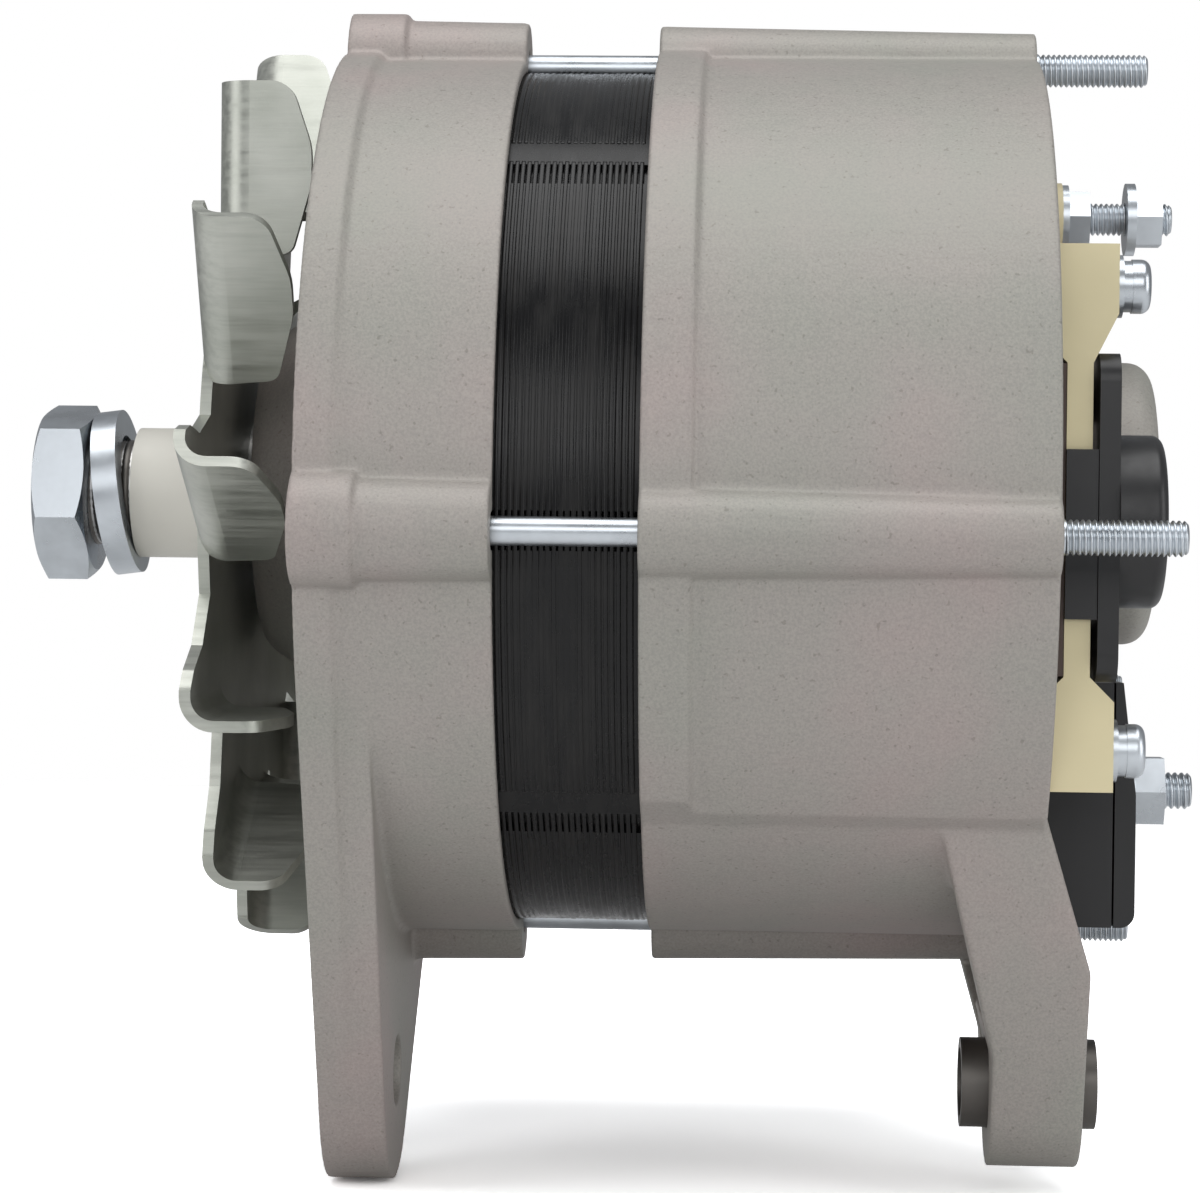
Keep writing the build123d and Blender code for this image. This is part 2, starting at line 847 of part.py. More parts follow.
front_inner_race, front_outer_race, front_balls, front_cage = bearing(
    bearing_front_start,
    bearing_front_width,
    bearing_front_bore,
    bearing_front_radius,
    bearing_front_ball,
    bearing_front_ball_count,
)
rear_inner_race, rear_outer_race, rear_balls, rear_cage = bearing(
    bearing_rear_start,
    bearing_rear_width,
    bearing_rear_bore,
    bearing_rear_radius,
    bearing_rear_ball,
    bearing_rear_ball_count,
)

# Plate that holds the front bearing in its hub, with its screws
retainer_points = ring_of(bolt_count, bolt_turn, retainer_screw_circle)
with BuildPart() as bearing_retainer:
    with BuildSketch(station(front_wall_x)):
        Circle(retainer_radius)
        Circle(retainer_bore, mode=Mode.SUBTRACT)
        with Locations(*retainer_points):
            Circle(retainer_screw_radius + fit_gap, mode=Mode.SUBTRACT)
    extrude(amount=retainer_thickness)

with BuildPart() as retainer_screws:
    with BuildSketch(station(front_wall_x - retainer_screw_length + seat_gap)):
        with Locations(*retainer_points):
            Circle(retainer_screw_radius)
    extrude(amount=retainer_screw_length - seat_gap + retainer_thickness)
    with BuildSketch(station(front_wall_x + retainer_thickness)):
        with Locations(*retainer_points):
            Circle(retainer_screw_head)
    extrude(amount=retainer_screw_head_height)

# Shaft: thread, journal, collar, pole seat, slip-ring seat and rear journal
with BuildPart() as shaft:
    shaft_start = nut_front + shaft_thread_start
    revolve(
        lathe(
            (shaft_start, 0),
            (shaft_start, shaft_thread_radius - shaft_thread_start),
            (shaft_start + shaft_thread_start, shaft_thread_radius),
            (sleeve_front, shaft_thread_radius),
            (sleeve_front, shaft_journal_radius),
            (bearing_front_end, shaft_journal_radius),
            (bearing_front_end, shaft_collar_radius),
            (rotor_front, shaft_collar_radius),
            (rotor_front, shaft_pole_radius),
            (rotor_back, shaft_pole_radius),
            (rotor_back, shaft_slip_radius),
            (bearing_rear_start, shaft_slip_radius),
            (bearing_rear_start, shaft_rear_radius),
            (shaft_end, shaft_rear_radius),
            (shaft_end, 0),
        ),
        axis=Axis.X,
    )

# Thin hexagon nut on the shaft, chamfered on both faces
with BuildPart() as shaft_nut:
    with BuildSketch(station(nut_front)):
        RegularPolygon(nut_flats / 2, 6, major_radius=False, rotation=nut_turn)
        Circle(shaft_thread_radius + fit_gap, mode=Mode.SUBTRACT)
    extrude(amount=nut_thickness)
    nut_corner = nut_flats / 2 + nut_chamfer
    revolve(
        lathe(
            (nut_front, 0),
            (nut_front, nut_corner - nut_chamfer),
            (nut_front + nut_chamfer, nut_corner + nut_chamfer),
            (nut_back - nut_chamfer, nut_corner + nut_chamfer),
            (nut_back, nut_corner - nut_chamfer),
            (nut_back, 0),
        ),
        axis=Axis.X,
        mode=Mode.INTERSECT,
    )

# Split spring washer, loose on the thread and tipped against the nut and the sleeve
with BuildPart() as lock_washer:
    washer_plane = Plane(
        origin=(lock_washer_middle, 0, 0),
        x_dir=(0, 1, 0),
        z_dir=(cos(radians(lock_washer_tilt)), 0, sin(radians(lock_washer_tilt))),
    )
    with BuildSketch(washer_plane):
        Circle(lock_washer_radius)
        Circle(lock_washer_bore, mode=Mode.SUBTRACT)
        with Locations((lock_washer_radius, 0)):
            Rectangle(lock_washer_radius, lock_washer_slit, mode=Mode.SUBTRACT)
    extrude(amount=lock_washer_thickness / 2, both=True)

# Plain sleeve that holds the fan while no pulley is fitted
with BuildPart() as pulley_sleeve:
    revolve(
        band(sleeve_front, fan_front, shaft_journal_radius + fit_gap, sleeve_radius),
        axis=Axis.X,
    )

# Spacer between the fan and the inner race
with BuildPart() as fan_spacer:
    revolve(
        band(fan_front + fan_sheet, bearing_front_start, shaft_journal_radius + fit_gap, spacer_radius),
        axis=Axis.X,
    )

# One fan blade, bent up from the sheet along a line that leans off the radius
lean = radians(fan_blade_lean)
blade_tip = Vector(fan_front, -fan_radius, 0)
blade_run = Vector(0, cos(lean), -sin(lean))
blade_inward = Vector(0, sin(lean), cos(lean))
with BuildPart() as fan_blade:
    with BuildSketch(Plane(origin=blade_tip, x_dir=blade_inward, z_dir=blade_run)) as bend:
        flat = fan_bend_radius + fan_bend_overlap
        with BuildLine():
            Polyline(
                (flat, 0),
                (0, 0),
                (0, fan_blade_height),
                (fan_sheet, fan_blade_height),
                (fan_sheet, fan_sheet),
                (flat, fan_sheet),
                close=True,
            )
        make_face()
        corners = bend.vertices().sort_by_distance((0, 0))
        fillet(corners[0], fan_bend_radius)
        inner_corners = bend.vertices().sort_by_distance((fan_sheet, fan_sheet))
        fillet(inner_corners[0], fan_bend_radius - fan_sheet)
    extrude(amount=fan_blade_length)
    with BuildSketch(Plane(origin=blade_tip, x_dir=blade_run, z_dir=-blade_inward)) as blade_side:
        with BuildLine():
            Polyline(
                (0, 0),
                (fan_blade_length, 0),
                (fan_blade_length - fan_inner_slope, fan_blade_height - fan_inner_drop),
                (fan_crest_end, fan_blade_height),
                (fan_crest_start, fan_blade_height),
                (0, fan_blade_height - fan_tip_drop),
                close=True,
            )
        make_face()
        for corner_point, corner_radius in (
            ((0, fan_blade_height - fan_tip_drop), fan_tip_corner),
            ((fan_crest_start, fan_blade_height), fan_crest_corner),
            ((fan_crest_end, fan_blade_height), fan_crest_corner),
            ((fan_blade_length, fan_blade_height - fan_inner_drop), fan_inner_corner),
        ):
            fillet(blade_side.vertices().sort_by_distance(corner_point)[0], corner_radius)
    extrude(amount=-flat, mode=Mode.INTERSECT)

# Petal that joins a blade to the hub disc
bend_start = blade_tip + blade_inward * (fan_bend_radius + fan_bend_overlap / 2)
bend_end = bend_start + blade_run * fan_blade_length
petal_rim = [
    around(angle, fan_radius - depth)
    for angle, depth in zip(fan_petal_angles, fan_petal_depths)
]
with BuildSketch() as petal:
    Polygon(
        (bend_start.Y, bend_start.Z),
        *petal_rim,
        (0, 0),
        (bend_end.Y, bend_end.Z),
        align=None,
    )
    fillet(petal.vertices().sort_by_distance(petal_rim[1])[0], fan_petal_corner)

# Fan: a hub disc with a petal and a blade at each place round it
blade_turns = [fan_first_blade]
for pitch in (2 * fan_blade_pitches)[:-1]:
    blade_turns.append(blade_turns[-1] + pitch)
with BuildPart() as fan:
    with BuildSketch(station(fan_front)):
        Circle(fan_disc_radius)
        for turn in blade_turns:
            add(petal.sketch.rotate(Axis.Z, turn))
        Circle(shaft_journal_radius + fit_gap, mode=Mode.SUBTRACT)
    extrude(amount=fan_sheet)
    for turn in blade_turns:
        add(fan_blade.part.rotate(Axis.X, turn))


def claw_pole(direction, turn):
    """One claw pole: a disc with tapered fingers that point along direction."""
    face = core_middle - direction * pole_length / 2
    inner_face = face + direction * pole_disc_thickness
    tip = core_middle + direction * (pole_length / 2 - pole_tip_inset)
    with BuildPart() as finger:
        with BuildSketch(Plane.XY):
            with BuildLine():
                Polyline(
                    (face, -pole_root_width / 2),
                    (inner_face, -pole_root_width / 2),
                    (tip, -pole_tip_width / 2),
                    (tip, pole_tip_width / 2),
                    (inner_face, pole_root_width / 2),
                    (face, pole_root_width / 2),
                    close=True,
                )
            make_face()
        extrude(amount=rotor_radius + air_gap)
        revolve(
            lathe(
                (face, 0),
                (inner_face, 0),
                (inner_face, pole_root_inner),
                (tip, pole_tip_inner),
                (tip, rotor_radius),
                (face, rotor_radius),
            ),
            axis=Axis.X,
            mode=Mode.INTERSECT,
        )
    with BuildPart() as pole:
        revolve(band(face, inner_face, 0, pole_disc_radius), axis=Axis.X)
        for index in range(pole_count):
            add(finger.part.rotate(Axis.X, turn + 360 * index / pole_count))
        revolve(
            band(face, inner_face, 0, shaft_pole_radius + fit_gap),
            axis=Axis.X,
            mode=Mode.SUBTRACT,
        )
    return pole


claw_pole_front = claw_pole(1, 0)
claw_pole_rear = claw_pole(-1, 180 / pole_count)

with BuildPart() as field_core:
    revolve(
        band(pole_inner_front, pole_inner_back, shaft_pole_radius + fit_gap, field_core_radius),
        axis=Axis.X,
    )

# Plastic bobbin and the field coil wound on it
bobbin_front = pole_inner_front + seat_gap
bobbin_back = pole_inner_back - seat_gap
bobbin_bore = field_core_radius + seat_gap
with BuildPart() as coil_bobbin:
    revolve(
        lathe(
            (bobbin_front, bobbin_bore),
            (bobbin_front, bobbin_flange_radius),
            (bobbin_front + bobbin_wall, bobbin_flange_radius),
            (bobbin_front + bobbin_wall, bobbin_bore + bobbin_wall),
            (bobbin_back - bobbin_wall, bobbin_bore + bobbin_wall),
            (bobbin_back - bobbin_wall, bobbin_flange_radius),
            (bobbin_back, bobbin_flange_radius),
            (bobbin_back, bobbin_bore),
        ),
        axis=Axis.X,
    )

with BuildPart() as field_coil:
    revolve(
        band(
            bobbin_front + bobbin_wall,
            bobbin_back - bobbin_wall,
            bobbin_bore + bobbin_wall + fit_gap,
            field_coil_radius,
        ),
        axis=Axis.X,
    )

# Slip rings on their insulating carrier
half_slip_ring = slip_ring_width / 2
with BuildPart() as slip_carrier:
    revolve(
        band(
            slip_ring_centres[0] - half_slip_ring - slip_carrier_margin,
            slip_ring_centres[1] + half_slip_ring + slip_carrier_margin,
            shaft_slip_radius + fit_gap,
            slip_ring_bore - fit_gap,
        ),
        axis=Axis.X,
    )

with BuildPart() as slip_rings:
    for ring_middle in slip_ring_centres:
        revolve(
            band(
                ring_middle - half_slip_ring,
                ring_middle + half_slip_ring,
                slip_ring_bore,
                slip_ring_radius,
            ),
            axis=Axis.X,
        )

# Brush holder with a guide for each brush
with BuildPart() as brush_holder:
    with BuildSketch(Plane.XY.offset(regulator_z)) as holder_plan:
        with BuildLine():
            Polyline(
                (holder_front, holder_near),
                (holder_front, holder_far),
                (holder_back, holder_far),
                (holder_back, holder_neck_far),
                (regulator_front, holder_neck_far),
                (regulator_front, holder_neck_near),
                (holder_back, holder_neck_near),
                (holder_back, holder_near),
                close=True,
            )
        make_face()
    extrude(amount=holder_height / 2, both=True)
    guide_length = holder_far - guide_end
    for ring_middle in slip_ring_centres:
        with Locations((ring_middle, guide_end + guide_length / 2, regulator_z)):
            Box(
                brush_thickness + 2 * fit_gap,
                guide_length,
                brush_width + 2 * fit_gap,
                mode=Mode.SUBTRACT,
            )


def brush(ring_middle):
    """A carbon brush whose end is hollowed to the ring that it runs on."""
    with BuildPart() as block:
        with Locations((ring_middle, brush_tail, regulator_z)):
            Box(
                brush_thickness,
                brush_length,
                brush_width,
                align=(Align.CENTER, Align.MIN, Align.CENTER),
            )
        revolve(
            band(
                ring_middle - brush_thickness,
                ring_middle + brush_thickness,
                0,
                slip_ring_radius + fit_gap,
            ),
            axis=Axis.X,
            mode=Mode.SUBTRACT,
        )
    return block


def brush_spring(ring_middle):
    """A compression spring between the end of the guide and the tail of the brush."""
    spring_start = (ring_middle, guide_end + spring_wire_radius + fit_gap, regulator_z)
    spring_height = spring_length - 2 * (spring_wire_radius + fit_gap)
    with BuildPart() as coil:
        with BuildLine() as path:
            Helix(
                spring_height / spring_turns,
                spring_height,
                spring_radius,
                center=spring_start,
                direction=(0, 1, 0),
            )
        with BuildSketch(Plane(origin=path.line @ 0, z_dir=path.line % 0)):
            Circle(spring_wire_radius)
        sweep(path=path.line, is_frenet=True)
    return coil


brush_negative = brush(slip_ring_centres[0])
brush_positive = brush(slip_ring_centres[1])
spring_negative = brush_spring(slip_ring_centres[0])
spring_positive = brush_spring(slip_ring_centres[1])

# Regulator: flange plate, drum and flush screws
regulator_back = regulator_front + regulator_flange_thickness
regulator_screw_points = (
    (regulator_screw_y, regulator_screw_top_z),
    (regulator_screw_y, regulator_screw_bottom_z),
)
with BuildPart() as regulator_flange:
    with BuildSketch(station(regulator_front)):
        with Locations(
            (
                (regulator_flange_near + regulator_flange_far) / 2,
                (regulator_flange_top + regulator_flange_bottom) / 2,
            )
        ):
            RectangleRounded(
                regulator_flange_far - regulator_flange_near,
                regulator_flange_top - regulator_flange_bottom,
                regulator_flange_corner,
            )
        with Locations(*regulator_screw_points):
            Circle(m4_head_radius + fit_gap, mode=Mode.SUBTRACT)
    extrude(amount=regulator_flange_thickness)

with BuildPart() as regulator_drum:
    with BuildSketch(station(regulator_back)):
        with Locations((regulator_y, regulator_z)):
            Circle(drum_radius)
    extrude(amount=drum_end - regulator_back)
    fillet(regulator_drum.faces().sort_by(Axis.X)[-1].edges(), drum_corner)

with BuildPart() as regulator_screws:
    with BuildSketch(station(regulator_front - m4_depth + seat_gap)):
        with Locations(*regulator_screw_points):
            Circle(m4_radius)
    extrude(amount=m4_depth - seat_gap)
    with BuildSketch(station(regulator_front)):
        with Locations(*regulator_screw_points):
            Circle(m4_head_radius)
    extrude(amount=regulator_flange_thickness)

# Rectifier: two horseshoe plates that carry the diodes
with BuildPart() as positive_sink:
    positive_front = positive_sink_back - sink_thickness
    extrude(
        station(positive_front)
        * sector(
            positive_sink_inner,
            positive_sink_outer,
            (sink_start + sink_end) / 2,
            sink_end - sink_start,
            vent_corner,
        ),
        amount=sink_thickness,
    )
    with BuildSketch(station(positive_front)):
        with Locations(*[around(angle, positive_diode_circle) for angle in positive_diode_angles]):
            Circle(diode_radius + fit_gap)
        with Locations((0, d_stud_z)):
            Circle(d_stud_radius + fit_gap)
        with Locations((0, b_stud_z)):
            Circle(b_stud_radius + fit_gap)
        with Locations((small_stud_y, small_stud_z)):
            Circle(small_stud_radius + fit_gap)
    extrude(amount=sink_thickness, mode=Mode.SUBTRACT)

with BuildPart() as negative_sink:
    negative_front = negative_sink_back - sink_thickness
    extrude(
        station(negative_front)
        * sector(
            negative_sink_inner,
            negative_sink_outer,
            (sink_start + sink_end) / 2,
            sink_end - sink_start - 2 * vent_corner,
            vent_corner,
        ),
        amount=sink_thickness,
    )
    post_points = [around(angle, negative_diode_circle) for angle in sink_post_angles]
    with BuildSketch(station(negative_sink_back)):
        with Locations(*post_points):
            Circle(sink_post_radius)
    extrude(amount=rear_wall_x - negative_sink_back)
    with BuildSketch(station(negative_front)):
        with Locations(*[around(angle, negative_diode_circle) for angle in negative_diode_angles]):
            Circle(diode_radius + fit_gap)
        with Locations(*[around(angle, lead_circle_radius) for angle in lead_angles]):
            Circle(lead_radius + seat_gap)
        with Locations((0, d_stud_z), (0, b_stud_z)):
            Circle(stud_head_radius + slip_carrier_margin)
    extrude(amount=sink_thickness, mode=Mode.SUBTRACT)


def diodes(points, plate_front):
    """Press-fit diodes in a plate, each with a pin towards the winding."""
    with BuildPart() as group:
        with BuildSketch(station(plate_front + sink_thickness - diode_height)):
            with Locations(*points):
                Circle(diode_radius)
        extrude(amount=diode_height)
        with BuildSketch(station(plate_front + sink_thickness - diode_height)):
            with Locations(*points):
                Circle(diode_pin_radius)
        extrude(amount=-diode_pin_length)
    return group


positive_diodes = diodes(
    [around(angle, positive_diode_circle) for angle in positive_diode_angles], positive_front
)
negative_diodes = diodes(
    [around(angle, negative_diode_circle) for angle in negative_diode_angles], negative_front
)


def terminal_stud(z, radius, free_start, free_radius, end):
    """A stud clamped on the positive plate, with a free end past its nut."""
    with BuildPart() as stud:
        with BuildSketch(station(positive_front - stud_head_height)):
            with Locations((0, z)):
                Circle(stud_head_radius)
        extrude(amount=stud_head_height)
        for start, stop, size in (
            (positive_front, free_start, radius),
            (free_start, end, free_radius),
        ):
            with BuildSketch(station(start)):
                with Locations((0, z)):
                    Circle(size)
            extrude(amount=stop - start)
    return stud


d_stud_free_start = d_flange_nut_front + d_flange_nut_length + stud_free_gap
d_stud = terminal_stud(
    d_stud_z, d_stud_radius, d_stud_free_start, d_stud_free_radius, d_stud_end
)
b_stud_free_start = b_nut_front + b_nut_thickness + stud_free_gap
b_stud = terminal_stud(
    b_stud_z, b_stud_radius, b_stud_free_start, b_stud_free_radius, b_stud_end
)

# Insulating bushes of the studs, through the rear wall
with BuildPart() as stud_insulators:
    with BuildSketch(station(positive_sink_back)):
        with Locations((0, d_stud_z)):
            Circle(d_insulator_neck)
            Circle(d_stud_radius + fit_gap, mode=Mode.SUBTRACT)
    extrude(amount=-positive_sink_back)
    with BuildSketch(station(0)):
        with Locations((0, d_stud_z)):
            Circle(d_insulator_radius)
            Circle(d_stud_radius + fit_gap, mode=Mode.SUBTRACT)
    extrude(amount=d_insulator_end)
    with BuildSketch(station(positive_sink_back)):
        with Locations((0, b_stud_z)):
            Circle(d_insulator_neck)
            Circle(b_stud_radius + fit_gap, mode=Mode.SUBTRACT)
    extrude(amount=-positive_sink_back)

with BuildPart() as d_washer:
    with BuildSketch(station(d_insulator_end)):
        with Locations((0, d_stud_z)):
            Circle(d_washer_radius)
            Circle(d_stud_radius + fit_gap, mode=Mode.SUBTRACT)
    extrude(amount=d_washer_thickness)

with BuildPart() as d_nut:
    with BuildSketch(station(d_insulator_end + d_washer_thickness)):
        with Locations((0, d_stud_z)):
            RegularPolygon(d_nut_flats / 2, 6, major_radius=False)
            Circle(d_stud_radius + fit_gap, mode=Mode.SUBTRACT)
    extrude(amount=d_nut_thickness)

with BuildPart() as d_flange_nut:
    with BuildSketch(station(d_flange_nut_front)):
        with Locations((0, d_stud_z)):
            Circle(d_flange_nut_flange_radius)
    extrude(amount=d_flange_nut_flange)
    with BuildSketch(station(d_flange_nut_front)):
        with Locations((0, d_stud_z)):
            RegularPolygon(d_nut_flats / 2, 6, major_radius=False)
    extrude(amount=d_flange_nut_length)
    with BuildSketch(station(d_flange_nut_front)):
        with Locations((0, d_stud_z)):
            Circle(d_stud_radius + fit_gap)
    extrude(amount=d_flange_nut_length, mode=Mode.SUBTRACT)

# Black block under the main terminal: a body and a cap with a seam between them
def block_slice(start, end):
    """The part of the block between two stations, clear of the bottom bolt."""
    with BuildPart() as piece:
        with BuildSketch(Plane.XZ.offset(-block_far)) as block_side:
            with BuildLine():
                Polyline(
                    (0, block_top),
                    (block_back_top, block_top),
                    (block_back_bottom, b_stud_z),
                    (block_back_bottom, block_bottom),
                    (0, block_bottom),
                    close=True,
                )
            make_face()
            outer = block_side.vertices().group_by(Axis.X)[-1]
            fillet(outer, block_corner)
        extrude(amount=block_far - block_near)
        with BuildSketch(station(start)):
            Rectangle(through, through)
        extrude(amount=end - start, mode=Mode.INTERSECT)
        with BuildSketch(station(0)):
            with Locations((0, b_stud_z)):
                Circle(b_stud_radius + fit_gap)
            with Locations(bottom_bolt):
                Circle(bolt_room_radius)
        extrude(amount=b_stud_end, mode=Mode.SUBTRACT)
    return piece


terminal_block = block_slice(0, block_split)
terminal_block_cap = block_slice(block_split + block_seam, block_back_bottom)

with BuildPart() as b_washer:
    with BuildSketch(station(block_back_bottom)):
        with Locations((0, b_stud_z)):
            Circle(b_washer_radius)
            Circle(b_stud_radius + fit_gap, mode=Mode.SUBTRACT)
    extrude(amount=b_nut_front - block_back_bottom)

with BuildPart() as b_nut:
    with BuildSketch(station(b_nut_front)):
        with Locations((0, b_stud_z)):
            RegularPolygon(b_nut_flats / 2, 6, major_radius=False)
            Circle(b_stud_radius + fit_gap, mode=Mode.SUBTRACT)
    extrude(amount=b_nut_thickness)

with BuildPart() as small_stud:
    with BuildSketch(station(positive_front)):
        with Locations((small_stud_y, small_stud_z)):
            Circle(small_stud_radius)
    extrude(amount=small_stud_end - positive_front)

# Cream carrier: a bar with a thick block at each end
carrier_screw_points = (
    (carrier_screw_y, carrier_screw_top_z),
    (carrier_screw_y, carrier_screw_bottom_z),
)
with BuildPart() as terminal_carrier:
    block_slope = carrier_block_back - carrier_bar_back
    extrude(
        Plane.XZ.offset(-carrier_near - carrier_bar_depth)
        * side_outline(
            (0, carrier_top),
            (carrier_block_back, carrier_top),
            (carrier_block_back, carrier_bar_top + 2 * block_slope),
            (carrier_bar_back, carrier_bar_top),
            (carrier_bar_back, carrier_bar_bottom),
            (carrier_block_back, carrier_bar_bottom - block_slope),
            (carrier_block_back, carrier_bottom),
            (0, carrier_bottom),
            (0, carrier_bar_bottom - carrier_bar_front),
            (carrier_bar_front, carrier_bar_bottom),
            (carrier_bar_front, carrier_bar_top),
            (0, carrier_bar_top + carrier_bar_front),
        ),
        amount=carrier_bar_depth,
    )
    for block_start, block_end in (
        (carrier_bar_top + 2 * block_slope, carrier_top),
        (carrier_bottom, carrier_bar_bottom - block_slope),
    ):
        with Locations((0, carrier_near, block_start)):
            Box(
                carrier_block_back,
                carrier_block_depth,
                block_end - block_start,
                align=(Align.MIN, Align.MIN, Align.MIN),
            )
    with BuildSketch(station(0)):
        with Locations(*carrier_screw_points):
            Circle(m4_radius + fit_gap)
    extrude(amount=carrier_block_back, mode=Mode.SUBTRACT)

# Dark clip snapped over the bar of the carrier
with BuildPart() as carrier_clip:
    clip_height = clip_top - clip_bottom
    clip_middle = (clip_top + clip_bottom) / 2
    with Locations((carrier_bar_front, carrier_near - clip_wall, clip_middle)):
        Box(
            carrier_bar_back - carrier_bar_front + clip_wall,
            carrier_bar_depth / 2 + clip_wall,
            clip_height,
            align=(Align.MIN, Align.MIN, Align.CENTER),
        )
    with Locations((carrier_bar_front, carrier_near - fit_gap, clip_middle)):
        Box(
            carrier_bar_back - carrier_bar_front + fit_gap,
            carrier_bar_depth,
            clip_height,
            align=(Align.MIN, Align.MIN, Align.CENTER),
            mode=Mode.SUBTRACT,
        )

# Brown insulating strip between the carrier and the wall
with BuildPart() as insulating_strip:
    with Locations((0, carrier_near, (strip_top + strip_bottom) / 2)):
        Box(
            strip_thickness,
            carrier_bar_depth,
            strip_top - strip_bottom,
            align=(Align.MIN, Align.MIN, Align.CENTER),
        )

with BuildPart() as carrier_washers:
    with BuildSketch(station(carrier_block_back)):
        with Locations(*carrier_screw_points):
            Circle(m4_washer_radius)
            Circle(m4_radius + fit_gap, mode=Mode.SUBTRACT)
    extrude(amount=m4_washer_thickness)

spring_washer_front = carrier_block_back + m4_washer_thickness
with BuildPart() as carrier_spring_washers:
    with BuildSketch(station(spring_washer_front)):
        with Locations(*carrier_screw_points):
            Circle(m4_spring_washer_radius)
            Circle(m4_radius + fit_gap, mode=Mode.SUBTRACT)
    extrude(amount=m4_spring_washer_thickness)

screw_seat = spring_washer_front + m4_spring_washer_thickness
with BuildPart() as carrier_screws:
    with BuildSketch(station(screw_seat)):
        with Locations(*carrier_screw_points):
            Circle(m4_head_radius)
    extrude(amount=m4_head_height)
    fillet(carrier_screws.edges().group_by(Axis.X)[-1], m4_head_height / 2)
    with BuildSketch(station(-rear_wall)):
        with Locations(*carrier_screw_points):
            Circle(m4_radius)
    extrude(amount=screw_seat + rear_wall)

pieces = {
    "front_bracket": front_bracket,
    "rear_bracket": rear_bracket,
    "stator_core": stator_core,
    "stator_winding": stator_winding,
    "phase_leads": phase_leads,
    "through_bolts": through_bolts,
    "pivot_bush": pivot_bush,
    "front_bearing_inner_race": front_inner_race,
    "front_bearing_outer_race": front_outer_race,
    "front_bearing_balls": front_balls,
    "front_bearing_cage": front_cage,
    "rear_bearing_inner_race": rear_inner_race,
    "rear_bearing_outer_race": rear_outer_race,
    "rear_bearing_balls": rear_balls,
    "rear_bearing_cage": rear_cage,
    "bearing_retainer": bearing_retainer,
    "retainer_screws": retainer_screws,
    "shaft": shaft,
    "shaft_nut": shaft_nut,
    "lock_washer": lock_washer,
    "pulley_sleeve": pulley_sleeve,
    "fan": fan,
    "fan_spacer": fan_spacer,
    "claw_pole_front": claw_pole_front,
    "claw_pole_rear": claw_pole_rear,
    "field_core": field_core,
    "coil_bobbin": coil_bobbin,
    "field_coil": field_coil,
    "slip_ring_carrier": slip_carrier,
    "slip_rings": slip_rings,
    "brush_holder": brush_holder,
    "brush_negative": brush_negative,
    "brush_positive": brush_positive,
    "brush_spring_negative": spring_negative,
    "brush_spring_positive": spring_positive,
    "regulator_flange": regulator_flange,
    "regulator_drum": regulator_drum,
    "regulator_screws": regulator_screws,
    "positive_heat_sink": positive_sink,
    "negative_heat_sink": negative_sink,
    "positive_diodes": positive_diodes,
    "negative_diodes": negative_diodes,
    "signal_stud": d_stud,
    "signal_stud_washer": d_washer,
    "signal_stud_nut": d_nut,
    "signal_flange_nut": d_flange_nut,
    "stud_insulators": stud_insulators,
    "output_stud": b_stud,
    "output_washer": b_washer,
    "output_nut": b_nut,
    "terminal_block": terminal_block,
    "terminal_block_cap": terminal_block_cap,
    "small_stud": small_stud,
    "terminal_carrier": terminal_carrier,
    "carrier_clip": carrier_clip,
    "insulating_strip": insulating_strip,
    "carrier_washers": carrier_washers,
    "carrier_spring_washers": carrier_spring_washers,
    "carrier_screws": carrier_screws,
}

# Every piece is exported with the middle of the front pivot bore at the origin
pivot_x = front_face_x + front_lug_thickness / 2
datum = Location((-pivot_x, -pivot_y, -pivot_z))
os.makedirs("parts", exist_ok=True)
for name, piece in pieces.items():
    placed = piece.part.moved(datum)
    placed.label = name
    export_step(placed, f"parts/{name}.step")
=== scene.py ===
import json
import math
import random

import bmesh
import bpy
from mathutils import Matrix, Vector


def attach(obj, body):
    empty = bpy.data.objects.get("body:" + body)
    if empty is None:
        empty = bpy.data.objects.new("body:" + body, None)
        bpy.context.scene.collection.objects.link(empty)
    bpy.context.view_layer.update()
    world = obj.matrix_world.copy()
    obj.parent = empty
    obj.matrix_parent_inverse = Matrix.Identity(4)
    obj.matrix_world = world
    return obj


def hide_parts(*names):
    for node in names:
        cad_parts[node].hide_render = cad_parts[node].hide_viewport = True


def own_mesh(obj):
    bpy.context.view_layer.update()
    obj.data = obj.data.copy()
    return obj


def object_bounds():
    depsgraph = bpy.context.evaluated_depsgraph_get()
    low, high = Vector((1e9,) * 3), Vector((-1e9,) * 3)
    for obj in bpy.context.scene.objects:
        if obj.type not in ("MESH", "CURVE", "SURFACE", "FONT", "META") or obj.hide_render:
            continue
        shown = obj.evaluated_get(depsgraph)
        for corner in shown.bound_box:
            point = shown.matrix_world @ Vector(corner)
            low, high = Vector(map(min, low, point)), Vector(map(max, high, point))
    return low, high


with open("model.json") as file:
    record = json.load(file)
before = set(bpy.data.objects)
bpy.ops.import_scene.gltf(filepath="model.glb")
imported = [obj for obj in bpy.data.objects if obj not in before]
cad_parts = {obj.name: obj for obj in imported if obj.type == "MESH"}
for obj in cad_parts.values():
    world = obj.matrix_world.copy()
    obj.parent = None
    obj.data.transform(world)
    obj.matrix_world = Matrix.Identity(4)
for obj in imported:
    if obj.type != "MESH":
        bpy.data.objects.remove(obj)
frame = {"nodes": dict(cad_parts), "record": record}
cad_low, cad_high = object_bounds()
nodes = frame["nodes"]
MM = 0.001

# The shaft's axis in the row frame, in mm: pieces below are placed from it
SHAFT = Vector((98.6, 16.0, 86.5))
CORE_RADIUS = 64.5

# Camera: it stands level with the lower half of the object and turns slightly to its left
CAMERA_PLACE = Vector((60.4, -504.0, 71.3)) * MM
CAMERA_TARGET = Vector((33.5, 16.0, 71.3)) * MM
CAMERA_LENS = 101.4
CAMERA_ROLL = 0.75

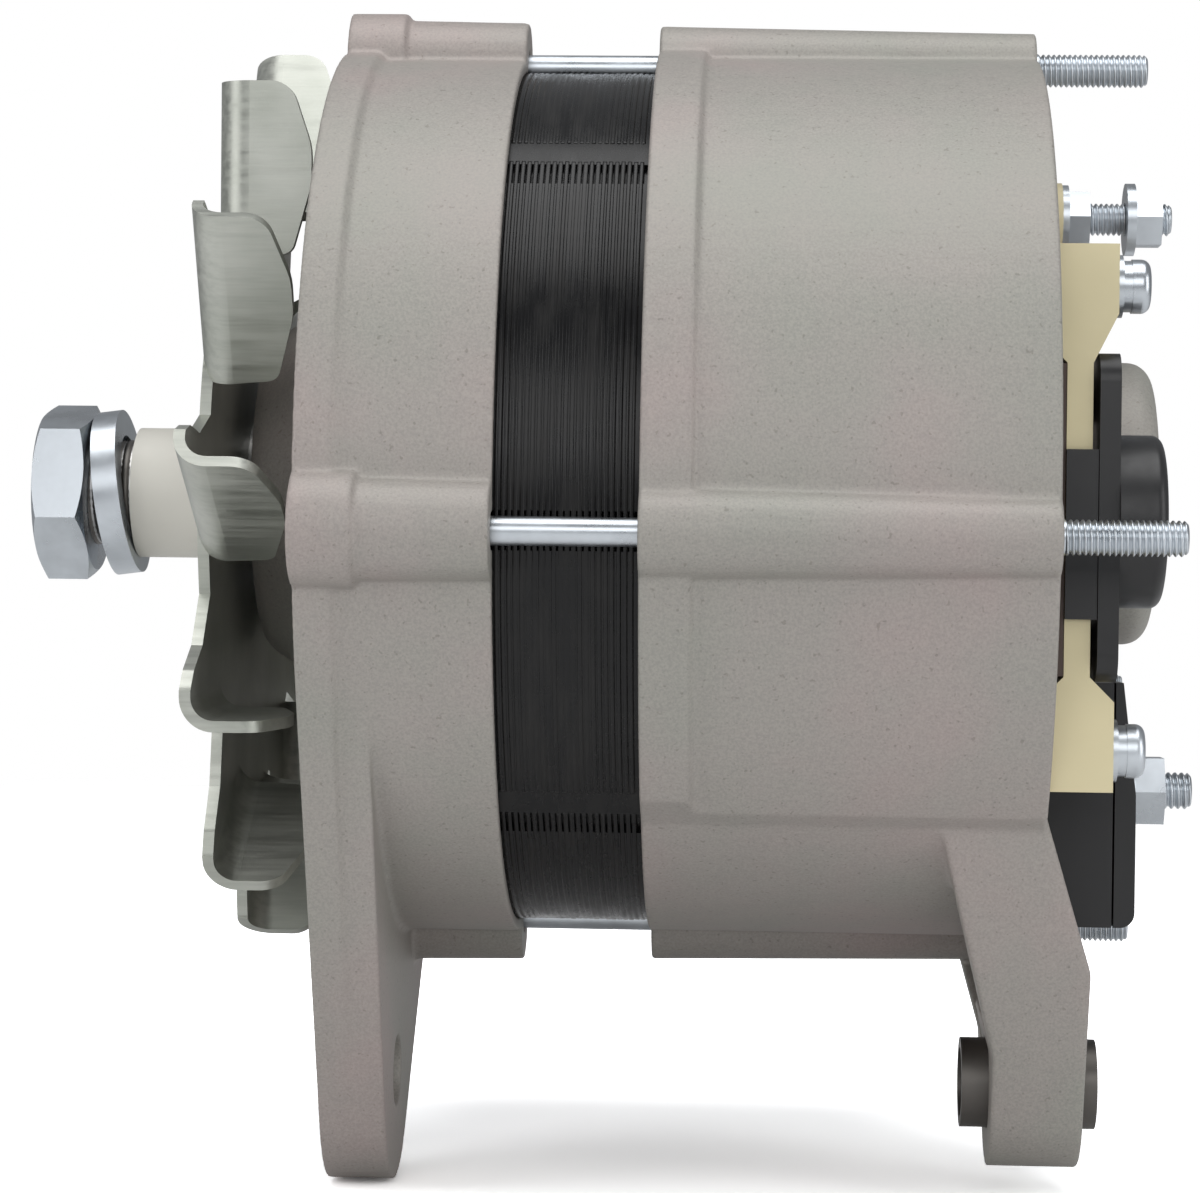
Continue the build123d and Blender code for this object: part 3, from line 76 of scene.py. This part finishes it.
camera_data = bpy.data.cameras.new("camera")
camera_data.lens = CAMERA_LENS
camera_data.sensor_width = 36.0
camera_data.clip_start = 0.01
camera_data.clip_end = 100.0
camera = bpy.data.objects.new("camera", camera_data)
bpy.context.scene.collection.objects.link(camera)
camera.location = CAMERA_PLACE
look = (CAMERA_TARGET - CAMERA_PLACE).to_track_quat("-Z", "Y").to_matrix().to_4x4()
turn = Matrix.Rotation(math.radians(CAMERA_ROLL), 4, "Z")
camera.matrix_world = Matrix.Translation(CAMERA_PLACE) @ look @ turn
bpy.context.scene.camera = camera
bpy.context.scene.view_settings.view_transform = "Standard"


# World and lamps
SOFT_COLOUR = (0.95, 0.97, 1.0, 1.0)
SOFT_STRENGTH = 0.30
WHITE_COLOUR = (1.0, 1.0, 1.0, 1.0)
WHITE_STRENGTH = 1.0
MIDDLE = (0.034, 0.016, 0.076)
LAMPS = (
    ("lamp_top", (0.034, -0.134, 0.84), (0.9, 0.6), 4.5),
    ("lamp_left", (-0.75, -0.43, 0.24), (0.5, 0.8), 2.2),
    ("lamp_right", (0.85, -0.43, 0.24), (0.5, 0.8), 2.6),
    ("lamp_front", (0.05, -1.08, 0.44), (0.8, 0.5), 2.6),
)


def build_world():
    """White to the camera and through glass, and a soft even light to all else."""
    world = bpy.data.worlds.new("studio")
    bpy.context.scene.world = world
    world.use_nodes = True
    tree = world.node_tree
    tree.nodes.clear()
    paths = tree.nodes.new("ShaderNodeLightPath")
    seen = tree.nodes.new("ShaderNodeMath")
    seen.operation = "MAXIMUM"
    tree.links.new(paths.outputs["Is Camera Ray"], seen.inputs[0])
    tree.links.new(paths.outputs["Is Transmission Ray"], seen.inputs[1])
    soft = tree.nodes.new("ShaderNodeBackground")
    soft.inputs["Color"].default_value = SOFT_COLOUR
    soft.inputs["Strength"].default_value = SOFT_STRENGTH
    white = tree.nodes.new("ShaderNodeBackground")
    white.inputs["Color"].default_value = WHITE_COLOUR
    white.inputs["Strength"].default_value = WHITE_STRENGTH
    mix = tree.nodes.new("ShaderNodeMixShader")
    out = tree.nodes.new("ShaderNodeOutputWorld")
    tree.links.new(seen.outputs[0], mix.inputs[0])
    tree.links.new(soft.outputs[0], mix.inputs[1])
    tree.links.new(white.outputs[0], mix.inputs[2])
    tree.links.new(mix.outputs[0], out.inputs["Surface"])


def area_lamp(name, place, size, power):
    data = bpy.data.lights.new(name, "AREA")
    data.shape = "RECTANGLE"
    data.size = size[0]
    data.size_y = size[1]
    data.energy = power
    lamp = bpy.data.objects.new(name, data)
    bpy.context.scene.collection.objects.link(lamp)
    lamp.location = place
    lamp.rotation_mode = "QUATERNION"
    lamp.rotation_quaternion = (Vector(MIDDLE) - Vector(place)).to_track_quat("-Z", "Y")


build_world()
for lamp_name, lamp_place, lamp_size, lamp_power in LAMPS:
    area_lamp(lamp_name, lamp_place, lamp_size, lamp_power)


# Node helpers
class Nodes:
    """A material's node tree with short ways to add nodes and links."""

    def __init__(self, name):
        self.material = bpy.data.materials.new(name)
        self.material.use_nodes = True
        self.tree = self.material.node_tree
        self.shader = self.tree.nodes["Principled BSDF"]

    def add(self, kind, **values):
        node = self.tree.nodes.new(kind)
        for key, value in values.items():
            setattr(node, key, value)
        return node

    def link(self, output, target):
        self.tree.links.new(output, target)

    def place(self, scale):
        coordinates = self.add("ShaderNodeTexCoord")
        mapping = self.add("ShaderNodeMapping")
        mapping.inputs["Scale"].default_value = scale
        self.link(coordinates.outputs["Object"], mapping.inputs["Vector"])
        return mapping.outputs["Vector"]

    def noise(self, scale, detail=2.0, rough=0.5, stretch=(1.0, 1.0, 1.0)):
        noise = self.add("ShaderNodeTexNoise")
        noise.inputs["Scale"].default_value = scale
        noise.inputs["Detail"].default_value = detail
        noise.inputs["Roughness"].default_value = rough
        self.link(self.place(stretch), noise.inputs["Vector"])
        return noise.outputs["Fac"]

    def ramp(self, source, *stops):
        ramp = self.add("ShaderNodeValToRGB")
        elements = ramp.color_ramp.elements
        while len(elements) < len(stops):
            elements.new(0.5)
        for element, (at, colour) in zip(elements, stops):
            element.position = at
            element.color = (*colour, 1.0)
        self.link(source, ramp.inputs["Fac"])
        return ramp.outputs["Color"]

    def spread(self, source, low, high):
        spread = self.add("ShaderNodeMapRange")
        spread.inputs["From Min"].default_value = 0.3
        spread.inputs["From Max"].default_value = 0.7
        spread.inputs["To Min"].default_value = low
        spread.inputs["To Max"].default_value = high
        self.link(source, spread.inputs["Value"])
        return spread.outputs["Result"]

    def mix(self, share, first, second, blend="MIX"):
        mix = self.add("ShaderNodeMix", data_type="RGBA", blend_type=blend)
        for socket, value in ((mix.inputs[0], share), (mix.inputs[6], first), (mix.inputs[7], second)):
            if isinstance(value, bpy.types.NodeSocket):
                self.link(value, socket)
            elif isinstance(value, tuple):
                socket.default_value = (*value, 1.0)
            else:
                socket.default_value = value
        return mix.outputs[2]

    def bump(self, source, distance, strength=1.0, before=None):
        bump = self.add("ShaderNodeBump")
        bump.inputs["Strength"].default_value = strength
        bump.inputs["Distance"].default_value = distance
        self.link(source, bump.inputs["Height"])
        if before is not None:
            self.link(before, bump.inputs["Normal"])
        return bump.outputs["Normal"]


# Materials
CAST_GREENISH = (0.322, 0.318, 0.288)
CAST_GREY = (0.345, 0.322, 0.300)
CAST_PINKISH = (0.372, 0.322, 0.306)
METAL_SHADE = 0.82
PLASTIC_SHADE = 0.86
VARNISH = (0.0025, 0.0025, 0.003)
VARNISH_RUBBED = (0.010, 0.0095, 0.009)


def cast_aluminium():
    """Sand-textured casting: fine pits, soft stains and a faint pink and green tint."""
    m = Nodes("cast_aluminium")
    cloud = m.noise(22.0, 4.0, 0.55)
    tint = m.ramp(cloud, (0.36, CAST_GREENISH), (0.52, CAST_GREY), (0.66, CAST_PINKISH))
    grain = m.noise(2600.0, 2.0, 0.6)
    speck = m.ramp(grain, (0.34, (0.88, 0.88, 0.88)), (0.66, (1.08, 1.07, 1.06)))
    pits = m.noise(1500.0, 1.0, 0.4)
    holes = m.ramp(pits, (0.24, (0.78, 0.77, 0.76)), (0.32, (1.0, 1.0, 1.0)))
    marks = m.mix(1.0, speck, holes, "MULTIPLY")
    m.link(m.mix(1.0, tint, marks, "MULTIPLY"), m.shader.inputs["Base Color"])
    m.shader.inputs["Metallic"].default_value = 0.30
    m.link(m.spread(grain, 0.50, 0.64), m.shader.inputs["Roughness"])
    coarse = m.bump(m.noise(420.0, 2.0, 0.5), 0.00006, 0.6)
    m.link(m.bump(grain, 0.00003, 0.6, coarse), m.shader.inputs["Normal"])
    return m.material


def metal(name, colour, rough, grain_scale=120.0, bump=0.00002):
    m = Nodes(name)
    grain = m.noise(grain_scale, 3.0, 0.6)
    dark = tuple(METAL_SHADE * c for c in colour)
    m.link(m.ramp(grain, (0.35, dark), (0.65, colour)), m.shader.inputs["Base Color"])
    m.shader.inputs["Metallic"].default_value = 1.0
    m.link(m.spread(grain, rough * 0.8, rough * 1.25), m.shader.inputs["Roughness"])
    m.link(m.bump(grain, bump, 0.5), m.shader.inputs["Normal"])
    return m.material


def pressed_zinc():
    """The fan's plated sheet, with streaks that the press drew along the shaft's direction."""
    m = Nodes("pressed_zinc")
    streak = m.noise(900.0, 3.0, 0.65, (0.06, 1.0, 1.0))
    cloud = m.noise(60.0, 3.0, 0.5)
    colour = m.ramp(cloud, (0.35, (0.40, 0.415, 0.375)), (0.65, (0.52, 0.53, 0.49)))
    lines = m.ramp(streak, (0.30, (0.84, 0.84, 0.83)), (0.60, (1.04, 1.04, 1.03)))
    m.link(m.mix(1.0, colour, lines, "MULTIPLY"), m.shader.inputs["Base Color"])
    m.shader.inputs["Metallic"].default_value = 0.85
    m.link(m.spread(streak, 0.30, 0.50), m.shader.inputs["Roughness"])
    m.link(m.bump(streak, 0.00003, 0.5), m.shader.inputs["Normal"])
    return m.material


def plastic(name, colour, rough):
    m = Nodes(name)
    grain = m.noise(400.0, 3.0, 0.6)
    cloud = m.noise(40.0, 2.0)
    dark = tuple(PLASTIC_SHADE * c for c in colour)
    m.link(m.ramp(cloud, (0.35, dark), (0.65, colour)), m.shader.inputs["Base Color"])
    m.link(m.spread(grain, rough * 0.85, rough * 1.15), m.shader.inputs["Roughness"])
    m.link(m.bump(grain, 0.00003, 0.5), m.shader.inputs["Normal"])
    return m.material


def laminated():
    """Varnished sheet edges: black, with rubbed streaks round the stack."""
    m = Nodes("laminations")
    smear = m.noise(90.0, 4.0, 0.6, (4.0, 1.0, 1.0))
    m.link(m.ramp(smear, (0.42, VARNISH), (0.72, VARNISH_RUBBED)), m.shader.inputs["Base Color"])
    m.link(m.spread(smear, 0.20, 0.36), m.shader.inputs["Roughness"])
    m.shader.inputs["Specular IOR Level"].default_value = 0.32
    m.link(m.bump(smear, 0.00003, 0.5), m.shader.inputs["Normal"])
    return m.material


MATERIALS = {
    "cast_aluminium": cast_aluminium(),
    "laminations": laminated(),
    "zinc_plate": metal("zinc_plate", (0.62, 0.66, 0.70), 0.30),
    "steel": metal("steel", (0.52, 0.51, 0.50), 0.32),
    "dark_steel": metal("dark_steel", (0.16, 0.15, 0.14), 0.45),
    "bearing_steel": metal("bearing_steel", (0.62, 0.62, 0.62), 0.18),
    "copper_winding": metal("copper_winding", (0.42, 0.16, 0.06), 0.35, 500.0, 0.0001),
    "copper": metal("copper", (0.60, 0.30, 0.18), 0.30),
    "white_plastic": plastic("white_plastic", (0.70, 0.68, 0.62), 0.5),
    "black_plastic": plastic("black_plastic", (0.014, 0.014, 0.015), 0.38),
    "cream_plastic": plastic("cream_plastic", (0.70, 0.62, 0.39), 0.45),
    "brown_fibre": plastic("brown_fibre", (0.07, 0.045, 0.035), 0.6),
    "carbon": plastic("carbon", (0.03, 0.03, 0.03), 0.5),
}

for part in frame["record"]["subparts"]:
    piece = nodes[part["node"]]
    piece.data.materials.clear()
    piece.data.materials.append(MATERIALS[part["material_slot"]])

nodes["fan"].data.materials.clear()
nodes["fan"].data.materials.append(pressed_zinc())


# Soft edges of the two castings
CAST_VOXEL = 0.00048
CAST_SMOOTH = 2
CAST_KEEP = 0.3
CAST_BLEND = 0.5


def soften(node):
    """Gives a casting the rounded edges and filled corners that sand leaves."""
    piece = nodes[node]
    remesh = piece.modifiers.new("cast", "REMESH")
    remesh.mode = "VOXEL"
    remesh.voxel_size = CAST_VOXEL
    remesh.use_smooth_shade = True
    smooth = piece.modifiers.new("smooth", "SMOOTH")
    smooth.factor = CAST_BLEND
    smooth.iterations = CAST_SMOOTH
    fewer = piece.modifiers.new("fewer", "DECIMATE")
    fewer.ratio = CAST_KEEP


for casting in ("front_bracket", "rear_bracket"):
    soften(casting)


# Mesh helpers
def new_piece(name, points, faces, slot, body):
    """A smooth mesh piece from points in mm, in its slot's material, riding on a body."""
    mesh = bpy.data.meshes.new(name)
    mesh.from_pydata([Vector(point) * MM for point in points], [], faces)
    mesh.validate()
    mesh.polygons.foreach_set("use_smooth", [True] * len(mesh.polygons))
    mesh.materials.append(MATERIALS[slot])
    mesh.update()
    piece = bpy.data.objects.new(name, mesh)
    bpy.context.scene.collection.objects.link(piece)
    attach(piece, body)


def grid_faces(rows, columns, closed=True):
    """Quads of a grid of points, row by row; closed joins the last column to the first."""
    faces = []
    for row in range(rows - 1):
        for column in range(columns if closed else columns - 1):
            after = (column + 1) % columns
            faces.append((
                row * columns + column, row * columns + after,
                (row + 1) * columns + after, (row + 1) * columns + column,
            ))
    return faces


# Threads
THREAD_SIDES = 40
THREAD_ROWS = 8
THREAD_CHAMFER = 0.5
THREAD_TIP = 0.1
FLANK_GAIN = 1.35
FLANK_DROP = 0.1
CUT_ROOM = 0.3
CUT_START = 0.05


def thread_points(start, end, y, z, crest, root, pitch):
    """Rows of points of a cut thread with its chamfer and end face, from start to end along X."""
    rows = max(4, int(round((end - start) / pitch * THREAD_ROWS)))
    points = []
    for row in range(rows + 1):
        x = start + (end - start) * row / rows
        left = (end - x) / THREAD_CHAMFER
        limit = crest if left > 1.0 else root - THREAD_TIP + (crest - root + THREAD_TIP) * left
        for side in range(THREAD_SIDES):
            turn = side / THREAD_SIDES
            place = (x / pitch - turn) % 1.0
            rise = min(1.0, max(0.0, FLANK_GAIN * (1.0 - abs(2.0 * place - 1.0)) - FLANK_DROP))
            radius = min(limit, root + (crest - root) * rise)
            angle = math.tau * turn
            points.append((x, y + radius * math.cos(angle), z + radius * math.sin(angle)))
    faces = grid_faces(rows + 1, THREAD_SIDES)
    cap = len(points)
    points.append((end, y, z))
    last = rows * THREAD_SIDES
    for side in range(THREAD_SIDES):
        faces.append((last + side, last + (side + 1) % THREAD_SIDES, cap))
    return points, faces


def cut_threads(node, stretches):
    """Stands for a plated stud's CAD node, and cuts a real thread on each of its free ends."""
    mesh = nodes[node].data.copy()
    mesh.name = node + "_threaded"
    piece = bpy.data.objects.new(node + "_threaded", mesh)
    bpy.context.scene.collection.objects.link(piece)
    piece.matrix_world = nodes[node].matrix_world
    into = piece.matrix_world.inverted()
    shape = bmesh.new()
    shape.from_mesh(mesh)
    for start, end, y, z, crest, root, pitch in stretches:
        gone = []
        for vertex in shape.verts:
            place = (piece.matrix_world @ vertex.co) / MM
            near = math.hypot(place.y - y, place.z - z) < crest + CUT_ROOM
            if near and place.x > start + CUT_START:
                gone.append(vertex)
        bmesh.ops.delete(shape, geom=gone, context="VERTS")
    for stretch in stretches:
        points, faces = thread_points(*stretch)
        made = [shape.verts.new(into @ (Vector(point) * MM)) for point in points]
        for face in faces:
            shape.faces.new([made[index] for index in face]).smooth = True
    bmesh.ops.recalc_face_normals(shape, faces=shape.faces)
    shape.to_mesh(mesh)
    shape.free()
    mesh.materials.clear()
    mesh.materials.append(MATERIALS["zinc_plate"])
    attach(piece, "housing")
    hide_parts(node)


# Threads by node, from the shaft's frame: start, end, Y, Z, crest, root and pitch
BOLT_COUNT = 4
BOLT_CIRCLE = 65.4
BOLT_TURN = 5.7
BOLT_THREAD = (0.4, 16.8, 2.45, 2.05, 0.8)
STUD_THREADS = {
    "output_stud": (12.0, 25.5, 0.0, -43.7, 2.8, 2.35, 1.0),
    "signal_stud": (4.0, 21.4, 0.0, 43.4, 2.45, 2.02, 0.8),
    "small_stud": (6.0, 16.8, 19.0, -28.4, 1.97, 1.6, 0.7),
}
SHAFT_THREAD = (-143.6, -136.8, 0.0, 0.0, 8.12, 7.86, 1.5)


def from_shaft(start, end, y, z, crest, root, pitch):
    """A thread's values with its place moved into the row frame."""
    return (SHAFT.x + start, SHAFT.x + end, SHAFT.y + y, SHAFT.z + z, crest, root, pitch)


def bolt_thread(index):
    start, end, crest, root, pitch = BOLT_THREAD
    angle = math.radians(BOLT_TURN + 360.0 / BOLT_COUNT * index)
    return from_shaft(
        start, end, -BOLT_CIRCLE * math.cos(angle), -BOLT_CIRCLE * math.sin(angle), crest, root, pitch
    )


cut_threads("through_bolts", [bolt_thread(index) for index in range(BOLT_COUNT)])
for stud, values in STUD_THREADS.items():
    cut_threads(stud, [from_shaft(*values)])
shaft_points, shaft_faces = thread_points(*from_shaft(*SHAFT_THREAD))
new_piece("shaft_thread", shaft_points, shaft_faces, "dark_steel", "rotor")


def soft_spring(pole):
    node = f"brush_spring_{pole}"
    piece = bpy.data.objects.new(node + "_coil", nodes[node].data.copy())
    bpy.context.scene.collection.objects.link(piece)
    piece.matrix_world = nodes[node].matrix_world
    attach(piece, "housing")
    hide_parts(node)
    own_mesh(piece)


for pole in ("negative", "positive"):
    soft_spring(pole)


# Stator sheets: each stands a little proud of the core and dips at the grooves, two of which show a weld
SHEET_START = -76.4
SHEET_END = -56.7
SHEET_PITCH = 0.88
SHEET_GAP = 0.20
SHEET_RISE = (0.05, 0.14)
SHEET_SHIFT = 0.03
SHEET_BEVEL = 0.1
SHEET_FOOT = -0.05
WELDS = {"weld_upper": -47.4, "weld_lower": 43.3}
GROOVES = (43.3, -47.4, 133.3, -137.4)
GROOVE_HALF = 1.7
GROOVE_DEPTH = 0.8
GROOVE_EDGE = 0.5
SHEET_STEP = 2.0
SHEET_FINE = 0.25
WELD_ROWS = 120
WELD_SIDES = 10
WELD_RADIUS = 0.50
WELD_RIPPLES = ((0.08, 1.3), (0.05, 0.53))
WELD_DEPTH = 0.9
WELD_SPREAD = 1.3


def sheet_angles():
    """Angles round the stack, close together at the grooves."""
    angles = [step * SHEET_STEP for step in range(int(360.0 / SHEET_STEP))]
    reach = GROOVE_HALF + 2.0 * GROOVE_EDGE
    count = int(2.0 * reach / SHEET_FINE)
    for centre in GROOVES:
        angles += [(centre - reach + step * SHEET_FINE) % 360.0 for step in range(count + 1)]
    return sorted(set(round(angle, 3) for angle in angles))


def groove_depth(angle):
    """How far the stack dips at an angle: full depth in a groove, with steep soft walls."""
    away = min(abs((angle - centre + 180.0) % 360.0 - 180.0) for centre in GROOVES)
    share = (GROOVE_HALF + GROOVE_EDGE / 2.0 - away) / GROOVE_EDGE
    return GROOVE_DEPTH * min(1.0, max(0.0, share))


def stator_sheets():
    dice = random.Random(5)
    points = []
    faces = []
    angles = sheet_angles()
    dips = [groove_depth(angle) for angle in angles]
    count = int((SHEET_END - SHEET_START) / SHEET_PITCH)
    for sheet in range(count):
        near = SHEET_START + sheet * SHEET_PITCH + dice.uniform(-SHEET_SHIFT, SHEET_SHIFT)
        far = near + SHEET_PITCH - SHEET_GAP
        rise = dice.uniform(*SHEET_RISE)
        profile = (
            (near, SHEET_FOOT), (near + SHEET_BEVEL, rise), (far - SHEET_BEVEL, rise), (far, SHEET_FOOT),
        )
        base = len(points)
        for x, out in profile:
            for angle, dip in zip(angles, dips):
                turn = math.radians(angle)
                radius = CORE_RADIUS + out - dip
                points.append((
                    SHAFT.x + x, SHAFT.y - radius * math.cos(turn), SHAFT.z - radius * math.sin(turn),
                ))
        for face in grid_faces(len(profile), len(angles)):
            faces.append(tuple(base + index for index in face))
    new_piece("stator_sheets", points, faces, "laminations", "housing")


def weld_bead(name, angle):
    """A rippled weld along the bottom of one groove."""
    points = []
    middle = math.radians(angle)
    for row in range(WELD_ROWS + 1):
        x = SHEET_START + (SHEET_END - SHEET_START) * row / WELD_ROWS
        size = WELD_RADIUS + sum(high * math.sin(math.tau * x / wave) for high, wave in WELD_RIPPLES)
        for side in range(WELD_SIDES + 1):
            turn = math.pi * side / WELD_SIDES
            out = CORE_RADIUS - WELD_DEPTH + size * math.sin(turn)
            along = size * WELD_SPREAD * math.cos(turn)
            y = -out * math.cos(middle) + along * math.sin(middle)
            z = -out * math.sin(middle) - along * math.cos(middle)
            points.append((SHAFT.x + x, SHAFT.y + y, SHAFT.z + z))
    faces = grid_faces(WELD_ROWS + 1, WELD_SIDES + 1, closed=False)
    new_piece(name, points, faces, "laminations", "housing")


stator_sheets()
for weld, weld_angle in WELDS.items():
    weld_bead(weld, weld_angle)


# Floor
FLOOR_SIZE = 3.0
FLOOR_CLEAR = 0.0005
FLOOR_FADE = (0.35, 1.1)
FLOOR_GAIN = 2.7


def build_floor():
    """A pale floor that is white where it is lit and fades out before its edge."""
    size = FLOOR_SIZE
    height = cad_low.z - FLOOR_CLEAR
    corners = [(-size, -size, height), (size, -size, height), (size, size, height), (-size, size, height)]
    mesh = bpy.data.meshes.new("floor")
    mesh.from_pydata(corners, [], [(0, 1, 2, 3)])
    floor = bpy.data.objects.new("floor", mesh)
    bpy.context.scene.collection.objects.link(floor)
    m = Nodes("floor")
    cloud = m.ramp(m.noise(3.0), (0.3, (0.88, 0.88, 0.88)), (0.7, (0.90, 0.90, 0.90)))
    m.link(cloud, m.shader.inputs["Base Color"])
    m.shader.inputs["Roughness"].default_value = 0.9
    bright = m.add("ShaderNodeBsdfDiffuse")
    bright.inputs["Color"].default_value = (FLOOR_GAIN, FLOOR_GAIN, FLOOR_GAIN, 1.0)
    paths = m.add("ShaderNodeLightPath")
    seen = m.add("ShaderNodeMixShader")
    m.link(paths.outputs["Is Camera Ray"], seen.inputs[0])
    m.link(m.shader.outputs[0], seen.inputs[1])
    m.link(bright.outputs[0], seen.inputs[2])
    coordinates = m.add("ShaderNodeTexCoord")
    away = m.add("ShaderNodeVectorMath", operation="LENGTH")
    m.link(coordinates.outputs["Object"], away.inputs[0])
    fade = m.add("ShaderNodeMapRange")
    fade.inputs["From Min"].default_value = FLOOR_FADE[0]
    fade.inputs["From Max"].default_value = FLOOR_FADE[1]
    m.link(away.outputs["Value"], fade.inputs["Value"])
    gone = m.add("ShaderNodeBsdfTransparent")
    mix = m.add("ShaderNodeMixShader")
    m.link(fade.outputs["Result"], mix.inputs[0])
    m.link(seen.outputs[0], mix.inputs[1])
    m.link(gone.outputs[0], mix.inputs[2])
    out = m.tree.nodes["Material Output"]
    m.link(mix.outputs[0], out.inputs["Surface"])
    mesh.materials.append(m.material)


build_floor()
